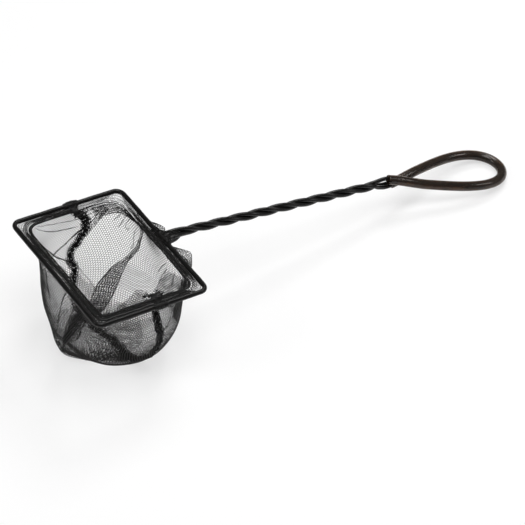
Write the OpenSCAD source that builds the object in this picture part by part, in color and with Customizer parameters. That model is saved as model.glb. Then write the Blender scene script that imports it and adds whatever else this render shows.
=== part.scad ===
// Aquarium fish net: a sewn mesh bag on a mouth of coated wire, a twisted handle and a sleeved grip loop.
// X runs along the handle and Y across the mouth. Z is up from the floor on which the bag and the loop rest.

/* [Mouth] */
// Outer length of the mouth, across the handle
mouth_l = 100; // [80:1:140]
// Outer width of the mouth, along the handle
mouth_w = 76; // [60:1:110]
// Height of the mouth's middle above the floor, which is how deep the bag stands
mouth_h = 64; // [50:1:80]
// Slope of the mouth down towards the handle, in degrees
mouth_tilt = 8.6; // [2:0.1:10]
// Bend radius of the wire's middle line at the mouth's corners
corner_r = 4.6; // [3.5:0.1:7]

/* [Wire] */
// Outer diameter of the coated wire
wire_d = 2.6; // [2.2:0.1:3]
// Diameter of the bare steel core
core_d = 1.7; // [1.2:0.1:1.9]
// Gap between the steel core and its coating
core_fit = 0.03; // [0.02:0.01:0.05]
// Gap that a wire keeps from the wire beside it
wire_fit = 0.15; // [0.12:0.01:0.2]

/* [Handle] */
// Length of the twist, from the neck to where the strands part
twist_l = 146; // [110:1:200]
// Whole turns of the twist, besides the last part of a turn that brings each strand to its arm
whole_turns = 3; // [2:1:4]
// Length at the neck over which the strands bend from straight into the twist
twist_ease_l = 7.4; // [5:0.2:20]
// Bend radius of the two strands where they leave the mouth's rail
neck_r = 6; // [4:0.1:8]
// Place of the neck along its rail, measured from the rail's middle
neck_shift = 2.2; // [-6:0.1:6]
// Sideways lean of the handle, in degrees
handle_yaw = 1.25; // [-3:0.05:3]
// Length over which the strands bend from the mouth's slope to the handle's
neck_bend_l = 6; // [4:1:24]
// How far the right strand stands off to its side at the neck, with the third strand under it
neck_spread = 2; // [0:0.1:3]
// Length over which those two strands come in to the twist
spread_l = 12; // [8:0.5:20]
// How far the cut end of the third strand follows the right bend, in degrees
end_turn = 60; // [20:5:75]

/* [Grip loop] */
// Length over which the strands part, from the twist's end to the loop
part_l = 7.3; // [6:0.1:12]
// Length of the loop, along its middle line
loop_l = 82; // [65:1:110]
// Outer width of the loop, over its sleeve
loop_w = 36; // [30:0.5:46]
// Sideways lean of the loop from the handle, in degrees
loop_lean = 6.3; // [-10:0.1:10]
// Wall of the grip sleeve
sleeve_wall = 0.25; // [0.2:0.05:0.6]
// Gap between a wire and the sleeve's bore
sleeve_fit = 0.06; // [0.04:0.01:0.1]
// Sideways step of each sleeve end from the middle of the handle
mouth_step = 0.8; // [0.6:0.05:1.6]

/* [Hem] */
// Thickness of the mesh that is wrapped round the mouth's wire
casing_t = 0.2; // [0.15:0.01:0.3]
// Gap between the wire and the mesh that is wrapped round it
casing_fit = 0.04; // [0.03:0.01:0.06]
// How far the hem reaches in from the mouth's outer edge
hem_in = 8.4; // [7.5:0.1:12]
// Width of the sewn hem band
band_w = 5; // [3.5:0.1:5.2]
// Thickness of the sewn hem band
band_t = 0.9; // [0.6:0.05:1.4]
// Thickness of the single mesh between the casing and the band
web_t = 0.4; // [0.3:0.05:0.5]
// Bend radius at the band's outer corners
band_corner_r = 5; // [4.2:0.1:6]
// Diameter of the sewing thread
thread_d = 0.4; // [0.3:0.05:0.6]
// Length of each bar tack along its rail
tack_l = 9; // [6:0.5:14]
// Thickness of each bar tack over the casing
tack_t = 0.8; // [0.5:0.05:1.2]

/* [Bag] */
// Thickness of the mesh panels, over the knots
mesh_t = 0.6; // [0.4:0.05:0.8]
// Width of the sewn seam between the two panels
seam_w = 4; // [2.5:0.1:5]
// Thickness of that seam
seam_t = 0.8; // [0.5:0.05:1.2]
// Gap between pieces of cloth that lie on each other
cloth_fit = 0.1; // [0.08:0.01:0.15]
// How far the bottom seam lies from the middle, away from the handle
foot_drift = 5; // [0:0.5:7]
// Reach of the folded toe at the foot of the far wall
toe_reach = 10.5; // [0:0.5:11]
// Bulge of the handle wall past the rail
bulge_reach = 9; // [0:0.5:10]

/* [Hidden] */
$fn = 48;

function unit(v) = v / norm(v);
function smooth(t) = let (c = min(1, max(0, t))) c * c * (3 - 2 * c);
function signed_pow(v, e) = sign(v) * pow(abs(v), e);
function reversed(list) = [for (i = [len(list) - 1 : -1 : 0]) list[i]];
// A place to the thousandth of a millimetre, so that bends meet the stretches beside them
function fine(v) = round(1000 * v) / 1000;

// Middle line of the mouth's wire, in the mouth's own plane
rail_x = mouth_w / 2 - casing_t - wire_d / 2;
rail_y = mouth_l / 2 - casing_t - wire_d / 2;
// The left and right strands leave the rail side by side, each this far from the handle's middle
strand_side = (wire_d + wire_fit) / 2;
// The three strands lie round the middle of the twist at this distance, the third one under the other two
strand_r = fine(strand_side / cos(30));
neck_drop = strand_r / 2;
// The left and the right strand's distance from the middle where they leave the rail's bends
left_off = strand_side;
right_off = strand_side + neck_spread;
// The neck, where the twist starts, in the mouth's own plane
neck_x = rail_x + neck_r;

// The facets of wires, sleeve and thread
wire_sides = 8;
sleeve_sides = 16;
thread_sides = 5;
twist_steps = 10 + 10 * whole_turns;
part_steps = 3;
loop_steps = 48;

// The sleeve holds two wires side by side
pair_step = (wire_d + wire_fit / 2) / 2;
sleeve_bore = (2 * pair_step + wire_d + 2 * sleeve_fit) / cos(180 / sleeve_sides);
sleeve_d = sleeve_bore + 2 * sleeve_wall;
// Where each sleeve end and the loose wire end lie, as shares of the way round the loop from the left side
left_sleeve_share = 0.09;
right_sleeve_share = 0.95;
loose_end_share = 0.72;
// Height of each sleeve end above or below the handle's middle
mouth_rise = (sleeve_d + cloth_fit) / 2;

// The loop's outline swells by a power of this, and this is where it is widest
loop_taper_share = 3;
loop_peak = pow(loop_taper_share / (1 + loop_taper_share), loop_taper_share / 2) / sqrt(1 + loop_taper_share);
loop_half = (loop_w - sleeve_d) / 2;
// The sleeve ends come level with each other over this part of the loop
level_share = 1 / 3;
// The loop's start and tip, along the handle
loop_start = twist_l + part_l;
loop_along = loop_l * cos(loop_lean);
loop_aside = loop_half / loop_peak * sin(loop_lean) / 2;
tip_s = loop_start + loop_along + loop_aside * loop_aside / loop_along;

// Drop of the handle against the mouth's plane that lets the loop's tip rest on the floor
function bent(s) = s < neck_bend_l ? s * abs(s) / (2 * neck_bend_l) : s - neck_bend_l / 2;
tip_drop = mouth_h - (neck_x + tip_s) * sin(mouth_tilt) - neck_drop * cos(mouth_tilt) - sleeve_d / 2;
drop_slope = tip_drop / (bent(tip_s) * cos(mouth_tilt));

// From the mouth's own plane to the floor's frame
function from_mouth(p) = [
    p[0] * cos(mouth_tilt) + p[2] * sin(mouth_tilt),
    p[1],
    mouth_h - p[0] * sin(mouth_tilt) + p[2] * cos(mouth_tilt)
];
// From the handle, measured along it, across it and above it
function from_handle(p) = from_mouth([
    neck_x + p[0],
    neck_shift + p[1] - tan(handle_yaw) * bent(p[0]),
    p[2] - neck_drop - drop_slope * bent(p[0])
]);
module in_mouth() {
    translate([0, 0, mouth_h])
        rotate([0, mouth_tilt, 0])
            children();
}

// The twist starts straight at the neck and runs on at full rate to where the strands part
function twist_share(t) =
    let (ease = twist_ease_l / twist_l)
    (t < ease ? t * t / (2 * ease) : t - ease / 2) / (1 - ease / 2);
// Angle of each strand at the neck, from the left side upwards, and the last part of a turn
left_first = 30;
right_first = 150;
third_first = 270;
last_turn = 135;
function strand_angle(first, t) = first + (360 * whole_turns + last_turn) * twist_share(t);
function round_middle(a) = strand_r * [0, cos(a), sin(a)];
// What the right and the third strand stand off from the twist at the neck
right_stand_off = [0, -neck_spread, 0];
third_stand_off = [0, -right_off, neck_drop + strand_r - wire_d - wire_fit];
function strand_path(first, stand_off) = [
    for (i = [0 : twist_steps])
        let (t = i / twist_steps, fade = 1 - smooth(twist_l * t / spread_l))
            from_handle([twist_l * t, 0, 0] + round_middle(strand_angle(first, t)) + stand_off * fade)
];
// The third strand's cut end, under the right bend
end_steps = 6;
end_path = [
    for (i = [1 : end_steps])
        let (a = end_turn * i / end_steps, y = neck_shift - right_off - neck_r * (1 - cos(a)))
            from_mouth([neck_x - neck_r * sin(a), y, -wire_d - wire_fit])
];

// The loop's middle line. The turn runs from 0 at the left sleeve end, past 180 at the tip, to 360.
function loop_fade(along) = 1 - smooth(along / (loop_l * level_share));
function loop_arm(turn) = turn < 180 ? 1 : -1;
function loop_point(turn) =
    let (
        s = sin(turn / 2),
        along = loop_l * s * s,
        fade = loop_arm(turn) * loop_fade(along),
        out = loop_half * pow(s, loop_taper_share) * cos(turn / 2) / loop_peak + mouth_step * fade
    )
    [
        loop_start + along * cos(loop_lean) + out * sin(loop_lean),
        -along * sin(loop_lean) + out * cos(loop_lean),
        -mouth_rise * fade
    ];
function loop_side(turn) =
    let (t = loop_point(turn + 1) - loop_point(turn - 1))
    unit([-t[1], t[0], 0]);
// The wire that runs all round the loop rolls over the loose one at the tip, from its outside to its inside.
roll_first = 125;
roll_turn = 80;
function loop_wire_point(turn, outside) =
    let (
        roll = 180 * smooth((turn - roll_first) / roll_turn),
        aside = cos(roll) * loop_side(turn) + sin(roll) * [0, 0, 1]
    )
    from_handle(loop_point(turn) + outside * pair_step * aside);
// Wires and sleeve have their rings at the same places round the loop, besides their ends.
turn_step = 360 / loop_steps;
function turns_between(first, last) =
    let (near = turn_step / 3, turns = [for (k = [0 : loop_steps]) k * turn_step])
    concat(
        first,
        [for (turn = turns) if (turn > first + near && turn < last - near) turn],
        last
    );
function loop_run(first, last, outside) =
    [for (turn = turns_between(first, last)) loop_wire_point(turn, outside)];
// Turn round the loop at which a wire's path takes over from its strand of the twist
first_turn = 8;

// Where the strands part: the left and right ones turn on as a pair, down into the left arm
pair_lean = left_first + third_first + last_turn - 90 - 360;
pair_middle = -round_middle(pair_lean + 90) / 2;
function pair_path(outside) = [
    for (i = [1 : part_steps - 1])
        let (
            u = i / part_steps,
            a = pair_lean * (1 - u),
            middle = pair_middle * (1 - u) + [part_l, mouth_step, -mouth_rise] * u,
            half = strand_side * (1 - u) + pair_step * u
        )
        from_handle([twist_l, 0, 0] + middle + outside * half * [0, cos(a), sin(a)])
];
// The third strand rises into the right arm.
third_path = [
    for (i = [1 : part_steps - 1])
        let (
            u = i / part_steps,
            strand = round_middle(strand_angle(third_first, 1)),
            arm = [part_l, pair_step - mouth_step, mouth_rise]
        )
        from_handle([twist_l, 0, 0] + strand * (1 - u) + arm * u)
];
left_end_path = concat(
    strand_path(left_first, [0, 0, 0]), pair_path(-1), loop_run(first_turn, 360 * loose_end_share, -1)
);
right_run_path = concat(
    strand_path(right_first, right_stand_off), pair_path(1), loop_run(first_turn, 360 - first_turn, 1),
    reversed(third_path), reversed(strand_path(third_first, third_stand_off)), end_path
);

// A round section of a wire or tube at each point of its path
function section_at(path, i, r, sides) =
    let (
        t = unit(path[min(i + 1, len(path) - 1)] - path[max(i - 1, 0)]),
        across = unit(cross([0, 0, 1], t)),
        up = cross(across, t)
    )
    [for (k = [0 : sides - 1]) path[i] + r * (cos(360 * k / sides) * across + sin(360 * k / sides) * up)];
function rings(path, r, sides) = [for (i = [0 : len(path) - 1]) each section_at(path, i, r, sides)];
// Faces of the skin between rings, seen from outside, from the first point of the list on
function skin(count, sides, first, flip) = [
    for (i = [0 : count - 2], k = [0 : sides - 1])
        let (
            a = first + i * sides + k,
            b = first + i * sides + (k + 1) % sides,
            tri = [[a, b, a + sides], [b, b + sides, a + sides]]
        )
        each [for (f = tri) flip ? [f[2], f[1], f[0]] : f]
];
module rod(path, d, sides) {
    n = len(path);
    cap_a = [for (k = [sides - 1 : -1 : 0]) k];
    cap_b = [for (k = [0 : sides - 1]) (n - 1) * sides + k];
    polyhedron(rings(path, d / 2, sides), concat(skin(n, sides, 0, false), [cap_a, cap_b]));
}
module tube(path, outer_d, bore_d, sides) {
    n = len(path);
    m = n * sides;
    points = concat(rings(path, outer_d / 2, sides), rings(path, bore_d / 2, sides));
    ends = [
        for (k = [0 : sides - 1])
            let (j = (k + 1) % sides, e = (n - 1) * sides)
            each [[j, k, m + k, m + j], [e + k, e + j, m + e + j, m + e + k]]
    ];
    polyhedron(points, concat(skin(n, sides, 0, false), skin(n, sides, m, true), ends));
}

// The mouth's wire, as straight stretches and bends of one section in the mouth's plane
module stretch(x, y, heading, length) {
    translate([x, y, 0])
        rotate([0, 0, heading])
            rotate([90, 0, 90])
                linear_extrude(length)
                    children();
}
module bend(x, y, first, radius) {
    translate([x, y, 0])
        rotate([0, 0, first])
            rotate_extrude(angle = 90)
                translate([radius, 0])
                    children();
}
module rails(left_gap, right_gap) {
    cx = rail_x - corner_r;
    cy = rail_y - corner_r;
    stretch(rail_x, neck_shift + left_gap, 90, cy - neck_shift - left_gap) children();
    stretch(cx, rail_y, 180, 2 * cx) children();
    stretch(-rail_x, cy, 270, 2 * cy) children();
    stretch(-cx, -rail_y, 0, 2 * cx) children();
    stretch(rail_x, -cy, 90, cy + neck_shift - right_gap) children();
    bend(cx, cy, 0, corner_r) children();
    bend(-cx, cy, 90, corner_r) children();
    bend(-cx, -cy, 180, corner_r) children();
    bend(cx, -cy, 270, corner_r) children();
}
module mouth_wire() {
    rails(left_off + neck_r, right_off + neck_r) children();
    bend(neck_x, neck_shift + left_off + neck_r, 180, neck_r) children();
    bend(neck_x, neck_shift - right_off - neck_r, 90, neck_r) children();
}
module annulus(outer_d, bore_d) {
    difference() {
        circle(d = outer_d);
        circle(d = bore_d);
    }
}

// Shapes of the hem, in the mouth's plane
module rounded_exact(half_x, half_y, r) {
    square([2 * half_x, 2 * (half_y - r)], center = true);
    square([2 * (half_x - r), 2 * half_y], center = true);
    for (x = [-1, 1], y = [-1, 1])
        translate([x * (half_x - r), y * (half_y - r)])
            circle(r);
}
band_out = hem_in - band_w;
band_inner_r = band_corner_r - band_w / 2;
casing_bore = wire_d + 2 * casing_fit;
casing_d = wire_d + 2 * casing_t;
module plate(outer_in, outer_r, inner_in, inner_r, t) {
    translate([0, 0, -t / 2])
        linear_extrude(t)
            difference() {
                rounded_exact(mouth_w / 2 - outer_in, mouth_l / 2 - outer_in, outer_r);
                rounded_exact(mouth_w / 2 - inner_in, mouth_l / 2 - inner_in, inner_r);
            }
}

// The bag's wall, row by row from the hem down to the seam on the floor.
// Each row is a rounded outline: shares of the local height, half the mouth's width and half its length.
wall_z_shares = [1, 0.965, 0.90, 0.80, 0.68, 0.55, 0.42, 0.30, 0.19, 0.10, 0.035, 0, 0];
wall_x_shares = [0, 0.83, 0.88, 0.91, 0.93, 0.93, 0.92, 0.89, 0.81, 0.71, 0.57, 0.42, 0];
wall_y_shares = [0, 0.87, 0.89, 0.91, 0.92, 0.91, 0.885, 0.84, 0.77, 0.67, 0.57, 0.49, 0.42];
wall_squareness = [9, 6, 3.9, 2.9, 2.5, 2.3, 2.2, 2.15, 2.1, 2, 2, 2, 2];
// Shares of the toe's and the bulge's whole reach, row by row, and their places along the rail
toe_shares = [0, 0, 0, 0, 0, 0, 0, 0.05, 0.15, 0.38, 0.67, 1, 0];
bulge_shares = [0, 0.6, 1, 0.7, 0.25, 0.05, 0, 0, 0, 0, 0, 0, 0];
toe_middle_share = 0.03;
toe_spread_share = 0.34;
bulge_middle_share = -0.32;
bulge_spread_share = 0.22;
// Sideways swing of the seam down the left and the right wall, as shares of half the mouth's width
left_seam_shares = [0.08, 0.14, 0.24, 0.27, 0.24, 0.12, -0.01, 0.06, 0.04, 0.02, 0, 0, 0];
right_seam_shares = [0.12, 0.11, 0.10, 0.13, 0.15, 0.16, 0.15, 0.10, 0.05, 0.01, 0, 0, 0];
// Slant of the seam on the floor
foot_slant_share = 0.15;
wall_last = len(wall_z_shares) - 1;
// How far the wall's top tucks in under the band
lap = 2 * mesh_t;
wall_top_drop = band_t / 2 + cloth_fit;

function top_z(x) = mouth_h - x * tan(mouth_tilt) - wall_top_drop / cos(mouth_tilt);
function half_x(j) = j == 0 ? (mouth_w / 2 - hem_in + lap) * cos(mouth_tilt) : mouth_w / 2 * wall_x_shares[j];
function half_y(j) = j == 0 ? mouth_l / 2 - hem_in + lap : mouth_l / 2 * wall_y_shares[j];
// Slope of the wall's profile at a row, which shares the cloth's thickness between inwards and upwards
function profile_slope(j) =
    let (
        a = max(0, j - 1),
        b = min(wall_last, j + 1),
        dz = mouth_h * (wall_z_shares[a] - wall_z_shares[b]),
        dx = half_x(a) - half_x(b)
    )
    atan2(dz, dx);
// The drift and slant of the foot come in over the lowest rows
function foot_fade(j) = pow(1 - wall_z_shares[j], 3);
function mound(share, middle, spread) = exp(-pow((share - middle) / spread, 2));
function swell(j, far, share) =
    far
        ? -toe_reach * toe_shares[j] * mound(share, toe_middle_share, toe_spread_share)
        : bulge_reach * bulge_shares[j] * mound(share, bulge_middle_share, bulge_spread_share);
function wall_point(j, a, inset) =
    let (
        slope = profile_slope(j),
        hx = max(cloth_fit / 2, half_x(j) - inset * sin(slope)),
        hy = half_y(j) - inset * sin(slope),
        e = 2 / wall_squareness[j],
        out = signed_pow(cos(a), e),
        y = hy * signed_pow(sin(a), e),
        x = hx * out + abs(out) * swell(j, cos(a) < 0, 2 * y / mouth_l),
        fade = foot_fade(j)
    )
    [
        x - foot_drift * fade - foot_slant_share * fade * y,
        y,
        wall_z_shares[j] * top_z(x) + inset * cos(slope)
    ];
// Angle round a row at which its left side has a given place along the handle
function angle_at(j, x) = acos(min(1, max(-1, signed_pow(x / half_x(j), wall_squareness[j] / 2))));
function seam_angle(j, left, off) =
    let (side = left ? 1 : -1, x = mouth_w / 2 * (left ? left_seam_shares[j] : right_seam_shares[j]))
    side * (j == wall_last ? 90 : angle_at(j, x + off));

panel_cols = 20;
// Angles round a row from one seam to the other, clear of the seam's middle by the cloth's gap
function panel_angles(j, far) =
    let (
        first = far ? seam_angle(j, true, -cloth_fit) : seam_angle(j, false, cloth_fit),
        last = far ? seam_angle(j, false, -cloth_fit) + 360 : seam_angle(j, true, cloth_fit)
    )
    [for (i = [0 : panel_cols]) first + (last - first) * i / panel_cols];
function panel_points(far, inset) =
    let (aside = [far ? -cloth_fit : cloth_fit, 0, 0])
    [
        for (j = [0 : wall_last])
            each [for (a = panel_angles(j, far)) wall_point(j, a, inset) + (j == wall_last ? 1 : 0) * aside]
    ];
// Two triangles between a pair of points and the pair beside it, seen from outside
function quad(a, b, c, d) = [[a, b, c], [a, c, d]];
module panel(far) {
    w = panel_cols + 1;
    m = w * (wall_last + 1);
    cells = [for (j = [0 : wall_last - 1], i = [0 : panel_cols - 1]) j * w + i];
    outer_faces = [for (c = cells) each quad(c, c + 1, c + w + 1, c + w)];
    inner_faces = [for (f = outer_faces) [m + f[2], m + f[1], m + f[0]]];
    cols = [for (i = [0 : panel_cols - 1]) i];
    side = [for (j = [0 : wall_last - 1]) j * w];
    foot = wall_last * w;
    edge_faces = concat(
        [for (i = cols) each quad(i + 1, i, m + i, m + i + 1)],
        [for (i = cols) let (f = foot + i) each quad(f, f + 1, m + f + 1, m + f)],
        [for (s = side) each quad(s, s + w, m + s + w, m + s)],
        [for (s = side) let (t = s + panel_cols) each quad(t + w, t, m + t, m + t + w)]
    );
    points = concat(panel_points(far, 0), panel_points(far, mesh_t));
    polyhedron(points, concat(outer_faces, inner_faces, edge_faces));
}

// The seam, down the left wall, along the floor and up the right wall, inside the bag
seam_rise = mesh_t + 2 * cloth_fit;
left_tack_x = round(mouth_w / 2 * left_seam_shares[0]);
right_tack_x = round(mouth_w / 2 * right_seam_shares[0]);
foot_steps = 6;
seam_last = 2 * wall_last + foot_steps;
function seam_point(i, off, inset) =
    let (
        left = wall_point(wall_last, 90, inset),
        right = wall_point(wall_last, -90, inset),
        t = (i - wall_last) / foot_steps
    )
    i < wall_last ? wall_point(i, seam_angle(i, true, off), inset)
    : i > wall_last + foot_steps ? wall_point(seam_last - i, seam_angle(seam_last - i, false, off), inset)
    : left * (1 - t) + right * t + [off, 0, 0];
module strip(w, t) {
    points = [
        for (i = [0 : seam_last])
            each [
                seam_point(i, w / 2, seam_rise), seam_point(i, -w / 2, seam_rise),
                seam_point(i, -w / 2, seam_rise + t), seam_point(i, w / 2, seam_rise + t)
            ]
    ];
    ends = [[3, 2, 1, 0], [for (k = [0 : 3]) seam_last * 4 + k]];
    polyhedron(points, concat(skin(seam_last + 1, 4, 0, false), ends));
}

module frame_core() {
    color("silver")
        in_mouth()
            mouth_wire()
                circle(d = core_d);
}
module frame_coating() {
    color([0.06, 0.06, 0.06])
        in_mouth()
            mouth_wire()
                annulus(wire_d, core_d + 2 * core_fit);
}
module left_end_core() {
    color("silver")
        rod(left_end_path, core_d, wire_sides);
}
module left_end_coating() {
    color([0.06, 0.06, 0.06])
        tube(left_end_path, wire_d, core_d + 2 * core_fit, wire_sides);
}
module right_run_core() {
    color("silver")
        rod(right_run_path, core_d, wire_sides);
}
module right_run_coating() {
    color([0.06, 0.06, 0.06])
        tube(right_run_path, wire_d, core_d + 2 * core_fit, wire_sides);
}
module grip_sleeve() {
    turns = turns_between(360 * left_sleeve_share, 360 * right_sleeve_share);
    color([0.33, 0.22, 0.16])
        tube([for (turn = turns) from_handle(loop_point(turn))], sleeve_d, sleeve_bore, sleeve_sides);
}
module hem_casing() {
    seat = casing_t + wire_d + casing_t / 2;
    color([0.12, 0.11, 0.10])
        in_mouth() {
            rails(left_off + neck_r + cloth_fit, right_off + neck_r + cloth_fit)
                annulus(casing_d, casing_bore);
            plate(seat, corner_r - wire_d / 2, band_out - cloth_fit, band_corner_r + cloth_fit, web_t);
        }
}
module hem_band() {
    color([0.08, 0.07, 0.07])
        in_mouth()
            plate(band_out, band_corner_r, hem_in, band_inner_r, band_t);
}
module hem_thread() {
    color("black")
        in_mouth()
            translate([0, 0, band_t / 2 + thread_d / 2])
                thread_ring();
}
module thread_ring() {
    in = band_out + band_w / 2;
    r = (band_corner_r + band_inner_r) / 2;
    cx = mouth_w / 2 - in - r;
    cy = mouth_l / 2 - in - r;
    for (s = [0, 1])
        rotate([0, 0, 180 * s]) {
            stretch(cx + r, -cy, 90, 2 * cy) circle(d = thread_d);
            stretch(cx, cy + r, 180, 2 * cx) circle(d = thread_d);
            bend(cx, cy, 0, r) circle(d = thread_d);
            bend(-cx, cy, 90, r) circle(d = thread_d);
        }
}
// Stitches wrapped round the casing at each end of the seam, open where the web and the band pass through
module bar_tacks() {
    color([0.05, 0.05, 0.05])
        in_mouth()
            for (s = [-1, 1])
                stretch((s > 0 ? left_tack_x : right_tack_x) - tack_l / 2, s * rail_y, 0, tack_l)
                    tack_section(s);
}
module tack_section(side) {
    outer_d = casing_d + 2 * tack_t;
    slot = band_t + 2 * cloth_fit;
    difference() {
        annulus(outer_d, casing_d + cloth_fit);
        translate([-side * outer_d / 2, 0])
            square([outer_d, slot], center = true);
    }
}
module far_panel() {
    color([0.25, 0.23, 0.22])
        panel(true);
}
module handle_panel() {
    color([0.25, 0.23, 0.22])
        panel(false);
}
module seam_band() {
    color([0.05, 0.05, 0.05])
        strip(seam_w, seam_t);
}
module seam_thread() {
    rise = seam_rise + seam_t + thread_d / 2 + cloth_fit;
    color("black")
        rod([for (i = [0 : seam_last]) seam_point(i, 0, rise)], thread_d, thread_sides);
}

frame_core();
frame_coating();
left_end_core();
left_end_coating();
right_run_core();
right_run_coating();
grip_sleeve();
hem_casing();
hem_band();
hem_thread();
bar_tacks();
far_panel();
handle_panel();
seam_band();
seam_thread();
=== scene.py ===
# %% [markdown]
# # A wire fish net
# The real thing is a bag of fine black netting on a rectangle of coated wire. The same wire is twisted into
# a handle and ends in a teardrop grip loop inside a brown vinyl tube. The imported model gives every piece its
# size and place. This lesson gives each one its real surface: netting from single threads, a rolled hem,
# ragged seams, satin vinyl on the wire and a clear brown tube over it.

import bpy
import numpy as np
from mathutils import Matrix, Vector


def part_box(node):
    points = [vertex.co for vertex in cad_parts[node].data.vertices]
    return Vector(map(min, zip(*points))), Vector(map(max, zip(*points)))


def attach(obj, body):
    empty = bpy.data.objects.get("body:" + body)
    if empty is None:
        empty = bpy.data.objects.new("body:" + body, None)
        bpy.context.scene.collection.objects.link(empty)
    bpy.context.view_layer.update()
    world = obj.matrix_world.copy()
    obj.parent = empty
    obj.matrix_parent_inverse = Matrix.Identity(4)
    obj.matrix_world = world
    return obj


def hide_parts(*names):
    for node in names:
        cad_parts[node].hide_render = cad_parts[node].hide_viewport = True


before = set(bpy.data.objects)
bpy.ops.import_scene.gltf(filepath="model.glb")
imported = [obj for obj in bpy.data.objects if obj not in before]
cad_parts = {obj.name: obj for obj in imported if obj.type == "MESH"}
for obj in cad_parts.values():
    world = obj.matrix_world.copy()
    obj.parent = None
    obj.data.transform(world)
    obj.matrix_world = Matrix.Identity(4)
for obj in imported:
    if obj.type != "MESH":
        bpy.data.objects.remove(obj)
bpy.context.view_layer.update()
ROOT = "root"
MM = 0.001
CM2 = 0.0001
SEED = 7
rng = np.random.default_rng(SEED)
print("nodes:", sorted(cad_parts))

# %% [markdown]
# ## Camera
# A small object photographed from far away keeps its parallel lines nearly parallel. So the camera stands
# 1.8 m off with a long lens, and looks down at the net from the side of the bag's corner.

# %% Camera
CAMERA_TURN = np.radians(-32.93)
CAMERA_RISE = np.radians(45.79)
CAMERA_DISTANCE = 1.8
CAMERA_LENS = 215.09
CAMERA_SENSOR = 36
CAMERA_NEAR = 0.05
CAMERA_AIM = np.array([73.06, -48.97, 60.4]) * MM


def direction(turn, rise):
    """The way from the object towards an eye at this turn and rise."""
    return np.array([np.sin(turn) * np.cos(rise), -np.cos(turn) * np.cos(rise), np.sin(rise)])


def linked(name, data):
    """A new object in the scene."""
    obj = bpy.data.objects.new(name, data)
    bpy.context.scene.collection.objects.link(obj)
    return obj


def aimed(obj, place, target):
    """Puts a camera or lamp at a place and turns it to look at its target."""
    obj.location = place
    obj.rotation_euler = (Vector(target) - Vector(place)).to_track_quat("-Z", "Y").to_euler()
    return obj


def add_camera():
    lens = bpy.data.cameras.new("camera")
    lens.lens, lens.sensor_width, lens.clip_start = CAMERA_LENS, CAMERA_SENSOR, CAMERA_NEAR
    place = CAMERA_AIM + CAMERA_DISTANCE * direction(CAMERA_TURN, CAMERA_RISE)
    bpy.context.scene.camera = aimed(linked("camera", lens), place, CAMERA_AIM)


add_camera()
print("camera at", [round(x, 3) for x in bpy.context.scene.camera.location])

# %% [markdown]
# ## Node helpers
# Materials and geometry trees are both graphs of nodes. One small helper adds a node, sets its values and
# links its inputs, so that each finish below reads as a short list of steps.


# %% Node helpers
def add_node(tree, kind, values=(), outputs=(), **links):
    """A new node. values are (socket or property, value) pairs, outputs feed its first sockets in turn, and
    links are socket=output."""
    node = tree.nodes.new(kind)
    for name, value in values:
        if isinstance(name, str) and hasattr(node, name):
            setattr(node, name, value)
        else:
            node.inputs[name].default_value = value
    for place, output in [*enumerate(outputs), *links.items()]:
        socket = place if isinstance(place, int) else place.replace("_", " ")
        tree.links.new(output, node.inputs[socket])
    return node


def new_material(name, **sockets):
    """A material with a Principled shader, which has these sockets set, and its output."""
    made = bpy.data.materials.new(name)
    made.use_nodes = True
    tree = made.node_tree
    tree.nodes.clear()
    values = [(socket.replace("_", " "), value) for socket, value in sockets.items()]
    shader = add_node(tree, "ShaderNodeBsdfPrincipled", values)
    add_node(tree, "ShaderNodeOutputMaterial", outputs=[shader.outputs["BSDF"]])
    return made, tree, shader


def noise(tree, scale, detail):
    """Noise over the piece's own coordinates, with its scale in cells for each metre."""
    place = tree.nodes.new("ShaderNodeTexCoord").outputs["Object"]
    node = add_node(tree, "ShaderNodeTexNoise", [("Scale", scale), ("Detail", detail)], Vector=place)
    return node.outputs["Fac"]


def grey(level):
    return (level, level, level)


def uneven(tree, shader, socket, scale, detail, low, high, ends=(0.3, 0.7)):
    """Takes a socket of the shader from a low colour to a high one, over noise between two ends."""
    ramp = add_node(tree, "ShaderNodeValToRGB", Fac=noise(tree, scale, detail))
    for stop, place, colour in zip(ramp.color_ramp.elements, ends, (low, high)):
        stop.position = place
        stop.color = (*colour, 1)
    tree.links.new(ramp.outputs["Color"], shader.inputs[socket])


def bump(tree, shader, scale, detail, depth, strength):
    """Fine relief over the piece, from noise."""
    values = [("Distance", depth), ("Strength", strength)]
    node = add_node(tree, "ShaderNodeBump", values, Height=noise(tree, scale, detail))
    tree.links.new(node.outputs["Normal"], shader.inputs["Normal"])


# %% [markdown]
# ## Floor, lamps and background
# The net stands on a white sweep under large soft lamps. The floor is a pale surface that takes the
# shadow. Rays from the camera see more than half of it as plain white, so the sheet looks white and the
# contact shadow stays, without more light on the net.

# %% Floor and world
FLOOR_SIZE = 6.0
FLOOR_DROP = 0.05 * MM
FLOOR_COLOUR = grey(0.92)
SHOWN_LIGHT_SHARE = 0.60
WHITE = (1, 1, 1, 1)


def floor_material():
    pale = {"Base_Color": (*FLOOR_COLOUR, 1), "Roughness": 0.9, "Specular_IOR_Level": 0.1}
    made, tree, shader = new_material("white sweep", **pale)
    white = add_node(tree, "ShaderNodeEmission", [("Color", WHITE), ("Strength", 1.0)])
    seen = tree.nodes.new("ShaderNodeLightPath").outputs["Is Camera Ray"]
    part = [("operation", "MULTIPLY"), (1, SHOWN_LIGHT_SHARE)]
    share = add_node(tree, "ShaderNodeMath", part, [seen])
    ends = [share.outputs[0], shader.outputs["BSDF"], white.outputs["Emission"]]
    mix = add_node(tree, "ShaderNodeMixShader", outputs=ends)
    out = next(n for n in tree.nodes if n.type == "OUTPUT_MATERIAL")
    tree.links.new(mix.outputs["Shader"], out.inputs["Surface"])
    return made


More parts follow.
